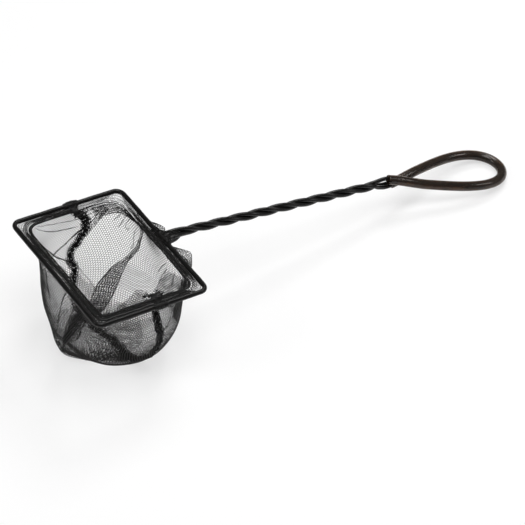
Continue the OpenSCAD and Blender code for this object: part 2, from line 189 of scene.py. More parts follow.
def add_floor():
    half = FLOOR_SIZE / 2
    corners = [(-half, -half, 0), (half, -half, 0), (half, half, 0), (-half, half, 0)]
    mesh = bpy.data.meshes.new("floor")
    mesh.from_pydata(corners, [], [(0, 1, 2, 3)])
    mesh.materials.append(floor_material())
    obj = linked("floor", mesh)
    obj.location.z = -FLOOR_DROP


WORLD_STRENGTH = 0.22


def white_world():
    """Soft light from all round, which camera rays and rays through the tube see as plain white."""
    world = bpy.data.worlds.new("studio")
    world.use_nodes = True
    tree = world.node_tree
    tree.nodes.clear()
    rays = tree.nodes.new("ShaderNodeLightPath").outputs
    plain = [rays["Is Camera Ray"], rays["Is Transmission Ray"]]
    seen = add_node(tree, "ShaderNodeMath", [("operation", "MAXIMUM")], plain)
    ends = [seen.outputs[0]]
    for strength in (WORLD_STRENGTH, 1.0):
        light = add_node(tree, "ShaderNodeBackground", [("Color", WHITE), ("Strength", strength)])
        ends.append(light.outputs["Background"])
    mix = add_node(tree, "ShaderNodeMixShader", outputs=ends)
    add_node(tree, "ShaderNodeOutputWorld", outputs=[mix.outputs["Shader"]])
    bpy.context.scene.world = world


add_floor()
white_world()
print("floor", FLOOR_SIZE, "m wide under the world", bpy.context.scene.world.name)

# %% Lamps
# Each lamp has its turn and rise round the net in degrees, its distance, its width and its power.
LAMPS = {
    "overhead": (-10, 80, 1.1, 0.66, 6.4),
    "behind": (126, 54, 1.2, 0.44, 5.4),
    "left side": (-100, 38, 1.3, 0.4, 2.8),
    "right side": (60, 35, 1.3, 0.4, 2.0),
}
LAMP_AIM = np.array([90.0, 0.0, 20.0]) * MM


def add_lamp(name, turn, rise, distance, width, power):
    lamp = bpy.data.lights.new(name, "AREA")
    lamp.shape, lamp.size, lamp.energy = "DISK", width, power
    away = distance * direction(np.radians(turn), np.radians(rise))
    aimed(linked(name, lamp), LAMP_AIM + away, LAMP_AIM)


for lamp_name, lamp_facts in LAMPS.items():
    add_lamp(lamp_name, *lamp_facts)
bpy.context.scene.view_settings.view_transform = "Standard"
print("lamps:", ", ".join(LAMPS))

# %% [markdown]
# ## Finishes
# The wire's coating is satin black vinyl, a little cloudy and uneven. The tube is clear brown vinyl,
# so its colour comes from what shines through its wall. Netting, hem and thread are all black nylon,
# which is a little glossy, so each thread catches a fine light.


# %% Finishes
def coating_material():
    made, tree, shader = new_material("satin black vinyl", Specular_IOR_Level=0.28)
    colours = {"low": (0.0018, 0.0017, 0.0016), "high": (0.0045, 0.0041, 0.0037), "ends": (0.3, 0.75)}
    uneven(tree, shader, "Base Color", scale=260, detail=3, **colours)
    uneven(tree, shader, "Roughness", scale=900, detail=4, low=grey(0.18), high=grey(0.27))
    bump(tree, shader, scale=2400, detail=3, depth=0.03 * MM, strength=0.35)
    return made


def steel_material():
    made, tree, shader = new_material("drawn steel", Metallic=1.0)
    uneven(tree, shader, "Base Color", scale=1200, detail=3, low=grey(0.42), high=(0.62, 0.61, 0.59))
    uneven(tree, shader, "Roughness", scale=2600, detail=2, low=grey(0.25), high=grey(0.45))
    return made


def sleeve_material():
    clear = {"Transmission_Weight": 0.96, "IOR": 1.40, "Roughness": 0.16, "Specular_IOR_Level": 0.34}
    made, tree, shader = new_material("smoke brown vinyl", **clear)
    colours = {"low": (0.16, 0.108, 0.076), "high": (0.24, 0.166, 0.118), "ends": (0.35, 0.7)}
    uneven(tree, shader, "Base Color", scale=90, detail=2, **colours)
    bump(tree, shader, scale=500, detail=2, depth=0.04 * MM, strength=0.15)
    return made


def nylon_material(name, dark, light, rough, shine, relief):
    made, tree, shader = new_material(name, Roughness=rough, Specular_IOR_Level=shine, Sheen_Weight=0.03)
    uneven(tree, shader, "Base Color", scale=700, detail=2, low=dark, high=light, ends=(0.35, 0.7))
    bump(tree, shader, scale=6000, detail=1, depth=0.02 * MM, strength=relief)
    return made


# Each nylon has its dark and its light colour, its roughness, its shine and its relief.
NYLONS = {
    "netting nylon": ((0.0040, 0.0037, 0.0034), (0.010, 0.0092, 0.0085), 0.36, 0.26, 0.2),
    "hem nylon": ((0.0025, 0.0023, 0.0021), (0.0050, 0.0046, 0.0042), 0.26, 0.17, 0.1),
    "sewing nylon": ((0.0022, 0.0020, 0.0018), (0.0050, 0.0046, 0.0042), 0.22, 0.34, 0.15),
}
COATING, STEEL, SLEEVE = coating_material(), steel_material(), sleeve_material()
NETTING, HEM_CLOTH, THREAD = [nylon_material(name, *facts) for name, facts in NYLONS.items()]
print("finishes:", ", ".join(made.name for made in (COATING, STEEL, SLEEVE, NETTING, HEM_CLOTH, THREAD)))

# %% [markdown]
# ## Geometry trees
# A thread is a line with a round section. One tree turns the edges of any mesh into threads. The netting's
# tree first takes the dual of a mesh of triangles, which has a six-sided cell round each of its corners,
# as knitted netting has. So a plain surface of triangles is all that a piece of netting has to give.


# %% Geometry trees
TREE_INPUTS = [
    ("Geometry", "Geometry", None),
    ("Thread Radius", "Float", 0.1 * MM),
    ("Sides", "Int", 3),
    ("Capped", "Bool", False),
    ("Finish", "Material", None),
]


def thread_tree(name, netting):
    """Edges to threads, and for netting the edges of the six-sided cells."""
    tree = bpy.data.node_groups.new(name, "GeometryNodeTree")
    for label, kind, value in TREE_INPUTS:
        made = tree.interface.new_socket(label, in_out="INPUT", socket_type="NodeSocket" + kind)
        if value is not None:
            made.default_value = value
    tree.interface.new_socket("Geometry", in_out="OUTPUT", socket_type="NodeSocketGeometry")
    size = tree.nodes.new("NodeGroupInput").outputs
    lines = size["Geometry"]
    if netting:
        lines = add_node(tree, "GeometryNodeDualMesh", Mesh=lines).outputs[0]
    curve = add_node(tree, "GeometryNodeMeshToCurve", Mesh=lines)
    section = {"Radius": size["Thread Radius"], "Resolution": size["Sides"]}
    ring = add_node(tree, "GeometryNodeCurvePrimitiveCircle", **section)
    skin = {"Curve": curve.outputs[0], "Profile_Curve": ring.outputs[0], "Fill_Caps": size["Capped"]}
    tube = add_node(tree, "GeometryNodeCurveToMesh", **skin)
    whole = add_node(tree, "GeometryNodeRealizeInstances", Geometry=tube.outputs[0])
    done = add_node(tree, "GeometryNodeSetMaterial", Geometry=whole.outputs[0], Material=size["Finish"])
    add_node(tree, "NodeGroupOutput", outputs=[done.outputs[0]])
    return tree


NET_TREE = thread_tree("netting from triangles", True)
LINE_TREE = thread_tree("threads along lines", False)


def grown(obj, tree, **values):
    """The object with the tree's result as its plain mesh. values are the tree's named inputs."""
    change = obj.modifiers.new("tree", "NODES")
    change.node_group = tree
    for item in tree.interface.items_tree:
        label = item.name.replace(" ", "_")
        if item.in_out == "INPUT" and label in values:
            change[item.identifier] = values[label]
    bpy.context.view_layer.update()
    drawn = obj.evaluated_get(bpy.context.evaluated_depsgraph_get())
    mesh = bpy.data.meshes.new_from_object(drawn)
    obj.modifiers.remove(change)
    obj.data = mesh
    mesh.name = obj.name
    print(obj.name, sum(len(p.vertices) - 2 for p in mesh.polygons), "triangles")
    return smooth_shaded(obj)


def new_piece(name, points, edges=(), faces=(), material=None):
    """A mesh object at the origin, from its points and what joins them."""
    mesh = bpy.data.meshes.new(name)
    mesh.from_pydata(np.asarray(points).tolist(), [tuple(e) for e in edges], [tuple(f) for f in faces])
    if material:
        mesh.materials.append(material)
    return linked(name, mesh)


def smooth_shaded(obj):
    obj.data.polygons.foreach_set("use_smooth", [True] * len(obj.data.polygons))
    obj.data.update()
    return obj


def lines_piece(name, lines, radius, material, sides=6):
    """Threads of one radius along several lines of points."""
    points = np.concatenate(lines)
    last = np.cumsum([len(line) for line in lines]) - 1
    edges = [(i, i + 1) for i in np.setdiff1d(np.arange(len(points)), last)]
    sizes = {"Thread_Radius": radius, "Sides": sides, "Capped": True, "Finish": material}
    return grown(new_piece(name, points, edges), LINE_TREE, **sizes)


def settle(obj, node):
    """A finished piece rides on the one body and stands for its node, whose imported mesh is hidden."""
    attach(obj, ROOT)
    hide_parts(node)
    return obj


# %% [markdown]
# ## The wire's route
# One coated wire makes the mouth, the handle and the loop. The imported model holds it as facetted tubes, with
# eight sides. The same route is worked out again here with fine steps, so that the coating shows as a
# smooth tube. The sizes are the model's own.

# %% Sizes of the wire
MOUTH_L = 100 * MM
MOUTH_W = 76 * MM
MOUTH_H = 64 * MM
MOUTH_TILT = np.radians(8.6)
WIRE_D = 2.6 * MM
WIRE_FIT = 0.15 * MM
CORE_D = 1.7 * MM
CORE_FIT = 0.03 * MM
CASING_T = 0.2 * MM
RAIL_X = MOUTH_W / 2 - CASING_T - WIRE_D / 2
RAIL_Y = MOUTH_L / 2 - CASING_T - WIRE_D / 2
TWIST_L = 146 * MM
WHOLE_TURNS = 3
TWIST_EASE_SHARE = 7.4 / 146
NECK_R = 6 * MM
NECK_SHIFT = 2.2 * MM
HANDLE_YAW = np.radians(1.25)
NECK_BEND_L = 6 * MM
NECK_SPREAD = 2 * MM
SPREAD_L = 12 * MM
END_TURN = np.radians(60)
PART_L = 7.3 * MM
LOOP_L = 82 * MM
LOOP_W = 36 * MM
LOOP_LEAN = np.radians(6.3)
SLEEVE_WALL = 0.25 * MM
SLEEVE_FIT = 0.06 * MM
SLEEVE_SIDES = 16
MOUTH_STEP = 0.8 * MM
CLOTH_FIT = 0.1 * MM
STRAND_SIDE = (WIRE_D + WIRE_FIT) / 2
STRAND_R = STRAND_SIDE / np.cos(np.radians(30))
NECK_DROP = STRAND_R / 2
RIGHT_OFF = STRAND_SIDE + NECK_SPREAD
NECK_X = RAIL_X + NECK_R
PAIR_STEP = (WIRE_D + WIRE_FIT / 2) / 2
SLEEVE_BORE = (2 * PAIR_STEP + WIRE_D + 2 * SLEEVE_FIT) / np.cos(np.pi / SLEEVE_SIDES)
SLEEVE_D = SLEEVE_BORE + 2 * SLEEVE_WALL
MOUTH_RISE = (SLEEVE_D + CLOTH_FIT) / 2
LEFT_SLEEVE_SHARE, RIGHT_SLEEVE_SHARE, LOOSE_END_SHARE = 0.09, 0.95, 0.72
LOOP_TAPER = 3
LOOP_PEAK = (LOOP_TAPER / (1 + LOOP_TAPER)) ** (LOOP_TAPER / 2) / np.sqrt(1 + LOOP_TAPER)
LOOP_HALF = (LOOP_W - SLEEVE_D) / 2
LEVEL_SHARE = 1 / 3
LOOP_START = TWIST_L + PART_L
LOOP_ALONG = LOOP_L * np.cos(LOOP_LEAN)
LOOP_ASIDE = LOOP_HALF / LOOP_PEAK * np.sin(LOOP_LEAN) / 2
TIP_S = LOOP_START + LOOP_ALONG + LOOP_ASIDE**2 / LOOP_ALONG
print("tube", round(SLEEVE_D / MM, 2), "mm wide, loop's tip", round(TIP_S / MM, 1), "mm along the handle")


# %% From the mouth's and the handle's own places to the floor's frame
def bent(s):
    s = np.asarray(s, float)
    return np.where(s < NECK_BEND_L, s * np.abs(s) / (2 * NECK_BEND_L), s - NECK_BEND_L / 2)


TIP_DROP = MOUTH_H - (NECK_X + TIP_S) * np.sin(MOUTH_TILT) - NECK_DROP * np.cos(MOUTH_TILT) - SLEEVE_D / 2
DROP_SLOPE = TIP_DROP / (bent(TIP_S) * np.cos(MOUTH_TILT))
print("the handle bends down until its tip is", round(TIP_DROP / MM, 1), "mm lower")


def from_mouth(p):
    """Points in the mouth's own plane, as rows of X, Y and height over it, in the floor's frame."""
    x, y, z = np.asarray(p, float).T
    tilted_x = x * np.cos(MOUTH_TILT) + z * np.sin(MOUTH_TILT)
    return np.stack([tilted_x, y, MOUTH_H - x * np.sin(MOUTH_TILT) + z * np.cos(MOUTH_TILT)], 1)


def from_handle(p):
    """Points along, across and above the handle's middle, in the floor's frame."""
    s, aside, up = np.asarray(p, float).T
    y = NECK_SHIFT + aside - np.tan(HANDLE_YAW) * bent(s)
    return from_mouth(np.stack([NECK_X + s, y, up - NECK_DROP - DROP_SLOPE * bent(s)], 1))


def eased(t):
    c = np.clip(t, 0, 1)
    return c * c * (3 - 2 * c)


# %% The three strands and the loop
LEFT_FIRST, RIGHT_FIRST, THIRD_FIRST = np.radians([30, 150, 270])
LAST_TURN = np.radians(135)
TWIST_POINTS = 180


def strand_angle(first, t):
    ease = TWIST_EASE_SHARE
    share = np.where(t < ease, t * t / (2 * ease), t - ease / 2) / (1 - ease / 2)
    return first + (2 * np.pi * WHOLE_TURNS + LAST_TURN) * share


def round_middle(angle):
    angle = np.asarray(angle, float)
    return STRAND_R * np.stack([0 * angle, np.cos(angle), np.sin(angle)], -1)


def strand_line(first, stand_off=(0, 0, 0)):
    t = np.linspace(0, 1, TWIST_POINTS)
    fade = 1 - eased(TWIST_L * t / SPREAD_L)
    along = np.stack([TWIST_L * t, 0 * t, 0 * t], 1)
    return from_handle(along + round_middle(strand_angle(first, t)) + fade[:, None] * np.asarray(stand_off))


def loop_middle(turn):
    """The loop's middle line, from 0 at the left tube end past half a turn at the tip."""
    s = np.sin(turn / 2)
    along = LOOP_L * s * s
    fade = np.where(turn < np.pi, 1, -1) * (1 - eased(along / (LOOP_L * LEVEL_SHARE)))
    out = LOOP_HALF * s**LOOP_TAPER * np.cos(turn / 2) / LOOP_PEAK + MOUTH_STEP * fade
    lean_c, lean_s = np.cos(LOOP_LEAN), np.sin(LOOP_LEAN)
    x = LOOP_START + along * lean_c + out * lean_s
    return np.stack([x, -along * lean_s + out * lean_c, -MOUTH_RISE * fade], 1)


ROLL_FIRST, ROLL_TURN = np.radians([125, 80])
LOOP_POINTS = 200
JOIN_POINTS = 7
END_POINTS = 8


def loop_line(first, last, outside):
    """A wire's line round the loop. Both wires roll over each other at the tip."""
    turn = np.linspace(first, last, LOOP_POINTS)
    step = np.radians(1)
    t = loop_middle(turn + step) - loop_middle(turn - step)
    side = np.stack([-t[:, 1], t[:, 0], 0 * turn], 1)
    side /= np.linalg.norm(side, axis=1, keepdims=True)
    roll = (np.pi * eased((turn - ROLL_FIRST) / ROLL_TURN))[:, None]
    aside = np.cos(roll) * side + np.sin(roll) * np.array([0, 0, 1])
    return from_handle(loop_middle(turn) + outside * PAIR_STEP * aside)


FIRST_TURN = np.radians(8)
PAIR_LEAN = LEFT_FIRST + THIRD_FIRST + LAST_TURN - np.pi / 2 - 2 * np.pi
PAIR_MIDDLE = -round_middle(PAIR_LEAN + np.pi / 2) / 2
TWIST_END = np.array([TWIST_L, 0, 0])


def pair_line(outside):
    u = np.linspace(0, 1, JOIN_POINTS)[1:-1, None]
    angle = PAIR_LEAN * (1 - u)
    middle = PAIR_MIDDLE * (1 - u) + np.array([PART_L, MOUTH_STEP, -MOUTH_RISE]) * u
    half = STRAND_SIDE * (1 - u) + PAIR_STEP * u
    aside = np.hstack([0 * u, np.cos(angle), np.sin(angle)])
    return from_handle(TWIST_END + middle + outside * half * aside)


def third_line():
    u = np.linspace(0, 1, JOIN_POINTS)[1:-1, None]
    strand = round_middle(strand_angle(THIRD_FIRST, 1.0))
    end = np.array([PART_L, PAIR_STEP - MOUTH_STEP, MOUTH_RISE])
    return from_handle(TWIST_END + strand * (1 - u) + end * u)


def end_line():
    """The third strand's cut end, under the right bend."""
    a = np.linspace(0, END_TURN, END_POINTS)[1:]
    y = NECK_SHIFT - RIGHT_OFF - NECK_R * (1 - np.cos(a))
    return from_mouth(np.stack([NECK_X - NECK_R * np.sin(a), y, 0 * a - WIRE_D - WIRE_FIT], 1))


strand_steps = np.diff(strand_line(LEFT_FIRST), axis=0)
print("each strand is", round(np.linalg.norm(strand_steps, axis=1).sum() / MM, 1), "mm long in the twist")


# %% Smooth tubes along the route
PATH_STEP = 0.8 * MM
SMOOTHING_PASSES = 4
WIRE_SIDES_SHOWN = 20


def evenly(line, step):
    """The same line with points a step apart."""
    length = np.concatenate([[0], np.cumsum(np.linalg.norm(np.diff(line, axis=0), axis=1))])
    count = max(2, int(round(length[-1] / step)) + 1)
    even = np.linspace(0, length[-1], count)
    return np.stack([np.interp(even, length, line[:, k]) for k in range(3)], 1)


def softened(line, passes):
    """Corners where stretches join are rounded, and both ends stay."""
    line = line.copy()
    for _ in range(passes):
        line[1:-1] = (line[:-2] + 2 * line[1:-1] + line[2:]) / 4
    return line


def frames_along(line):
    """Two directions across a line, carried along it without twist."""
    t = np.gradient(line, axis=0)
    t /= np.linalg.norm(t, axis=1, keepdims=True)
    across = np.zeros_like(t)
    a = np.cross([0, 0, 1], t[0])
    for i, way in enumerate(t):
        a = a - way * (a @ way)
        a /= np.linalg.norm(a)
        across[i] = a
    return across, np.cross(t, across)


def ring_faces(rings, sides, first=0, flip=False):
    """Quads between rings of points, facing away from the line's middle."""
    i, k = np.meshgrid(np.arange(rings - 1), np.arange(sides), indexing="ij")
    a = first + i * sides + k
    b = first + i * sides + (k + 1) % sides
    quads = np.stack([a, b, b + sides, a + sides], -1).reshape(-1, 4)
    return quads[:, ::-1] if flip else quads


def tube_points(line, radius, sides):
    """Rings round a line."""
    across, up = frames_along(line)
    angle = np.linspace(0, 2 * np.pi, sides, endpoint=False)
    ring = np.cos(angle)[None, :, None] * across[:, None] + np.sin(angle)[None, :, None] * up[:, None]
    return (line[:, None] + radius * ring).reshape(-1, 3)


def capped_faces(rings, sides):
    """The faces of a solid rod with flat ends."""
    last = (rings - 1) * sides
    ends = [tuple(range(sides))[::-1], tuple(range(last, last + sides))]
    return [tuple(f) for f in ring_faces(rings, sides)] + ends


def ring_grid(places, sides):
    """The place and the angle of each point of rings, with one ring at each place."""
    q, k = np.meshgrid(places, np.arange(sides), indexing="ij")
    return q.ravel(), 2 * np.pi * k.ravel() / sides


def hollow_tube(name, line, outer, bore, material, sides):
    """A tube with a wall, open at both ends."""
    n = len(line)
    m = n * sides
    points = np.concatenate([tube_points(line, outer / 2, sides), tube_points(line, bore / 2, sides)])
    k = np.arange(sides)
    j = (k + 1) % sides
    e = (n - 1) * sides
    near = np.stack([j, k, m + k, m + j], 1)
    far = np.stack([e + k, e + j, m + e + j, m + e + k], 1)
    faces = np.concatenate([ring_faces(n, sides), ring_faces(n, sides, m, True), near, far])
    obj = new_piece(name, points, faces=faces, material=material)
    smooth = np.ones(len(faces), bool)
    smooth[-2 * sides :] = False
    obj.data.polygons.foreach_set("use_smooth", smooth)
    return obj


RIGHT_STAND_OFF = [0, -NECK_SPREAD, 0]
THIRD_STAND_OFF = [0, -RIGHT_OFF, NECK_DROP + STRAND_R - WIRE_D - WIRE_FIT]
left_route = np.concatenate([
    strand_line(LEFT_FIRST),
    pair_line(-1),
    loop_line(FIRST_TURN, 2 * np.pi * LOOSE_END_SHARE, -1),
])
right_route = np.concatenate([
    strand_line(RIGHT_FIRST, RIGHT_STAND_OFF),
    pair_line(1),
    loop_line(FIRST_TURN, 2 * np.pi - FIRST_TURN, 1),
    third_line()[::-1],
    strand_line(THIRD_FIRST, THIRD_STAND_OFF)[::-1],
    end_line(),
])


def coat(name, route, node):
    """A strand's coating as a smooth tube in place of its facetted node."""
    line = softened(evenly(route, PATH_STEP), SMOOTHING_PASSES)
    obj = hollow_tube(name, line, WIRE_D, CORE_D + 2 * CORE_FIT, COATING, WIRE_SIDES_SHOWN)
    corners = np.array([v.co for v in obj.data.vertices])
    gap = np.abs(np.array([corners.min(0), corners.max(0)]) - np.array(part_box(node))).max()
    print(name, "differs from its node's box by", round(gap / MM, 3), "mm")
    return settle(obj, node)


coat("left_strand_coat", left_route, "left_end_coating")
coat("right_run_coat", right_route, "right_run_coating")
SHOWN_NODES = {"frame_core": STEEL, "left_end_core": STEEL, "right_run_core": STEEL, "frame_coating": COATING}
for node, finish in SHOWN_NODES.items():
    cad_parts[node].data.materials.clear()
    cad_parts[node].data.materials.append(finish)

# %% [markdown]
# ## The grip tube
# A soft vinyl tube is pushed over both wires of the loop. It's a real tube with a wall, so light bends
# through it twice: the edges go dark, and the wires show as a dark band in the middle.

# %% Grip tube
SLEEVE_SIDES_SHOWN = 40
SLEEVE_POINTS = 220


def grip_tube():
    turn = 2 * np.pi * np.linspace(LEFT_SLEEVE_SHARE, RIGHT_SLEEVE_SHARE, SLEEVE_POINTS)
    line = evenly(from_handle(loop_middle(turn)), PATH_STEP)
    obj = hollow_tube("grip_tube", line, SLEEVE_D, SLEEVE_BORE, SLEEVE, SLEEVE_SIDES_SHOWN)
    return settle(obj, "grip_sleeve")


grip = grip_tube()
print("grip tube", len(grip.data.polygons), "faces")

# %% [markdown]
# ## The bag's walls
# The bag hangs from the hem in two panels, sewn to each other down the left wall, along the floor and up the
# right wall. Its shape is a stack of rounded outlines, from the hem down to the seam on the floor, with the
# same shares of the mouth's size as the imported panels. Between the rows each share runs on smoothly.

# %% Shares of the wall's rows
WALL_Z_SHARES = [1, 0.965, 0.90, 0.80, 0.68, 0.55, 0.42, 0.30, 0.19, 0.10, 0.035, 0, 0]
WALL_X_SHARES = [0, 0.83, 0.88, 0.91, 0.93, 0.93, 0.92, 0.89, 0.81, 0.71, 0.57, 0.42, 0]
WALL_Y_SHARES = [0, 0.87, 0.89, 0.91, 0.92, 0.91, 0.885, 0.84, 0.77, 0.67, 0.57, 0.49, 0.42]
WALL_SQUARENESS = [9, 6, 3.9, 2.9, 2.5, 2.3, 2.2, 2.15, 2.1, 2, 2, 2, 2]
TOE_SHARES = [0, 0, 0, 0, 0, 0, 0, 0.05, 0.15, 0.38, 0.67, 1, 0]
BULGE_SHARES = [0, 0.6, 1, 0.7, 0.25, 0.05, 0, 0, 0, 0, 0, 0, 0]
LEFT_SEAM_SHARES = [0.08, 0.14, 0.24, 0.27, 0.24, 0.12, -0.01, 0.06, 0.04, 0.02, 0, 0, 0]
RIGHT_SEAM_SHARES = [0.12, 0.11, 0.10, 0.13, 0.15, 0.16, 0.15, 0.10, 0.05, 0.01, 0, 0, 0]
TOE_REACH, TOE_MIDDLE, TOE_SPREAD = 10.5 * MM, 0.03, 0.34
BULGE_REACH, BULGE_MIDDLE, BULGE_SPREAD = 9 * MM, -0.32, 0.22
FOOT_DRIFT, FOOT_SLANT = 5 * MM, 0.15
HEM_IN, BAND_W, BAND_T, MESH_T = 8.4 * MM, 5 * MM, 0.9 * MM, 0.6 * MM
WALL_LAST = len(WALL_Z_SHARES) - 1
TOP_DROP = BAND_T / 2 + CLOTH_FIT
HALF_X = MOUTH_W / 2 * np.array(WALL_X_SHARES)
HALF_Y = MOUTH_L / 2 * np.array(WALL_Y_SHARES)
HALF_X[0] = (MOUTH_W / 2 - HEM_IN + 2 * MESH_T) * np.cos(MOUTH_TILT)
HALF_Y[0] = MOUTH_L / 2 - HEM_IN + 2 * MESH_T


def along_rows(values, row):
    """Values at whole rows, run on smoothly between them and never past them."""
    y = np.asarray(values, float)
    step = np.diff(y)
    both = step[:-1] * step[1:]
    inner = np.where(both > 0, 2 * both / np.where(both > 0, step[:-1] + step[1:], 1), 0)
    slope = np.concatenate([[step[0]], inner, [step[-1]]])
    i = np.clip(np.floor(row).astype(int), 0, len(y) - 2)
    t = row - i
    a, b = y[i], y[i + 1]
    h = t * t * (3 - 2 * t)
    return a + (b - a) * h + slope[i] * t * (1 - t) ** 2 - slope[i + 1] * t * t * (1 - t)


def top_height(x):
    return MOUTH_H - x * np.tan(MOUTH_TILT) - TOP_DROP / np.cos(MOUTH_TILT)


def signed_power(v, e):
    return np.sign(v) * np.abs(v) ** e


def mound(share, middle, spread):
    return np.exp(-(((share - middle) / spread) ** 2))


def wall_place(row, angle):
    """Points of the wall's outside at rows and angles round them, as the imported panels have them."""
    z_share = along_rows(WALL_Z_SHARES, row)
    hx, hy = along_rows(HALF_X, row), along_rows(HALF_Y, row)
    e = 2 / along_rows(WALL_SQUARENESS, row)
    out = signed_power(np.cos(angle), e)
    y = hy * signed_power(np.sin(angle), e)
    share = 2 * y / MOUTH_L
    toe = -TOE_REACH * along_rows(TOE_SHARES, row) * mound(share, TOE_MIDDLE, TOE_SPREAD)
    bulge = BULGE_REACH * along_rows(BULGE_SHARES, row) * mound(share, BULGE_MIDDLE, BULGE_SPREAD)
    x = hx * out + np.abs(out) * np.where(out < 0, toe, bulge)
    fade = (1 - z_share) ** 3
    return np.stack([x - FOOT_DRIFT * fade - FOOT_SLANT * fade * y, y, z_share * top_height(x)], -1)


def seam_angle(row, left):
    """Angle round a row at which the seam runs down the left or the right wall."""
    x = MOUTH_W / 2 * along_rows(LEFT_SEAM_SHARES if left else RIGHT_SEAM_SHARES, row)
    reach = signed_power(x / np.maximum(along_rows(HALF_X, row), MM), along_rows(WALL_SQUARENESS, row) / 2)
    return np.arccos(np.clip(reach, -1, 1)) * (1 if left else -1)


print("the walls have", WALL_LAST + 1, "rows and hang", round(top_height(0) / MM, 1), "mm deep")


# %% [markdown]
# ## Flat cloth on a curved wall
# Netting is knitted flat, so its cells keep their size wherever it hangs. Each panel is a flat cut whose
# places are lengths: how far round the wall from its middle line, and how far down from the hem. A table
# of the wall's points by those lengths turns any flat place into a point on the wall.

# %% Flat places on the walls
ROWS_SHOWN = 12 * WALL_LAST + 1
COLUMNS_SHOWN = 160
ANGLES_TRIED = 700


class Wall:
    """One panel's wall, far from the handle or beside it, as a table of points by flat lengths."""

    def __init__(self, far):
        self.far = far
        self.rows = np.linspace(0, WALL_LAST, ROWS_SHOWN)
        middle = np.pi if far else 0.0
        ends = [seam_angle(self.rows, True), seam_angle(self.rows, False) + (2 * np.pi if far else 0)]
        halves = [self.half_girth(middle, end) for end in ends]
        (left_points, self.left_reach), (right_points, self.right_reach) = halves
        self.points = np.concatenate([left_points[:, :0:-1], right_points], 1)
        down = np.linalg.norm(np.diff(self.points[:, COLUMNS_SHOWN], axis=0), axis=1)
        self.depth = np.concatenate([[0], np.cumsum(down)])
        self.normals = self.outward()

    def half_girth(self, middle, end):
        """Points at even lengths from the middle line to one seam, and each row's length."""
        share = np.linspace(0, 1, ANGLES_TRIED)
        angle = middle + (end[:, None] - middle) * share
        fine = wall_place(self.rows[:, None] + 0 * angle, angle)
        steps = np.linalg.norm(np.diff(fine, axis=1), axis=2)
        length = np.concatenate([np.zeros((len(fine), 1)), np.cumsum(steps, axis=1)], 1)
        even = np.linspace(0, 1, COLUMNS_SHOWN + 1)
        points = [[np.interp(even * r[-1], r, p[:, k]) for k in range(3)] for r, p in zip(length, fine)]
        return np.moveaxis(np.array(points), 1, 2), length[:, -1]

    def outward(self):
        down = np.gradient(self.points, axis=0)
        across = np.gradient(self.points, axis=1)
        n = np.cross(across, down)
        n /= np.maximum(np.linalg.norm(n, axis=2, keepdims=True), 1e-12)
        middle = n[ROWS_SHOWN // 3, COLUMNS_SHOWN]
        return n if (middle[0] < 0) == self.far else -n

    def reach(self, t):
        """How far the wall runs to the left seam (below zero) and to the right one, at a depth."""
        row = np.interp(t, self.depth, np.arange(ROWS_SHOWN))
        i = np.arange(ROWS_SHOWN)
        return -np.interp(row, i, self.left_reach), np.interp(row, i, self.right_reach)

    def place(self, g, t, inward=0.0):
        """Points at lengths g round the wall and t down it, moved inward."""
        left, right = self.reach(t)
        share = np.where(g < 0, -g / left, g / right)
        column = COLUMNS_SHOWN * (1 + np.clip(share, -1, 1))
        row = np.interp(t, self.depth, np.arange(ROWS_SHOWN))
        i = np.clip(np.floor(row).astype(int), 0, ROWS_SHOWN - 2)
        j = np.clip(np.floor(column).astype(int), 0, 2 * COLUMNS_SHOWN - 1)
        a, b = (row - i)[..., None], (column - j)[..., None]

        def mixed(table):
            low = table[i, j] * (1 - b) + table[i, j + 1] * b
            high = table[i + 1, j] * (1 - b) + table[i + 1, j + 1] * b
            return low * (1 - a) + high * a

        return mixed(self.points) - np.asarray(inward)[..., None] * mixed(self.normals)


far_wall, handle_wall = Wall(True), Wall(False)
for wall in (far_wall, handle_wall):
    girth = (wall.left_reach[0] + wall.right_reach[0]) / MM
    side, depth = "far" if wall.far else "handle", wall.depth[-1] / MM
    print(side, "panel: girth", round(girth, 1), "and depth", round(depth, 1))

# %% [markdown]
# ## Netting
# A panel starts as a flat sheet of small triangles, one cell of the netting apart. Each of its corners is
# carried onto the wall. Where the cloth is pleated, it runs forward, back and forward again over the same
# place on the wall, so a pleat shows as three layers between two folded edges, as on the real bag.

# %% Flat netting
CELL = 1.5 * MM
THREAD_R = 0.16 * MM


def flat_cells(low, high, cell=CELL):
    """Corners and triangles of an even sheet of triangles over a flat box."""
    rise = cell * np.sqrt(3) / 2
    columns = int((high[0] - low[0]) / cell) + 2
    rows = int((high[1] - low[1]) / rise) + 2
    i, j = np.meshgrid(np.arange(columns), np.arange(rows))
    corners = np.stack([low[0] + (i + 0.5 * (j % 2)) * cell, low[1] + j * rise], -1).reshape(-1, 2)
    a = (j[:-1, :-1] * columns + i[:-1, :-1]).ravel()
    odd = (j[:-1, :-1] % 2).ravel() == 1
    b, c, d = a + 1, a + columns, a + columns + 1
    one = np.where(odd[:, None], np.stack([a, b, d], 1), np.stack([a, b, c], 1))
    two = np.where(odd[:, None], np.stack([a, d, c], 1), np.stack([b, d, c], 1))
    return corners, np.concatenate([one, two])


def kept(points, triangles, keep):
    """Only the triangles whose corners are all kept, with their corners numbered anew."""
    triangles = triangles[keep[triangles].all(1)]
    used = np.unique(triangles)
    number = np.full(len(keep), -1)
    number[used] = np.arange(len(used))
    return [p[used] for p in points], number[triangles]


def joined(cuts):
    """Several cuts of netting as one. Each cut is its points and its triangles."""
    firsts = np.cumsum([0] + [len(points) for points, _ in cuts[:-1]])
    points = np.concatenate([points for points, _ in cuts])
    return points, np.concatenate([triangles + first for (_, triangles), first in zip(cuts, firsts)])


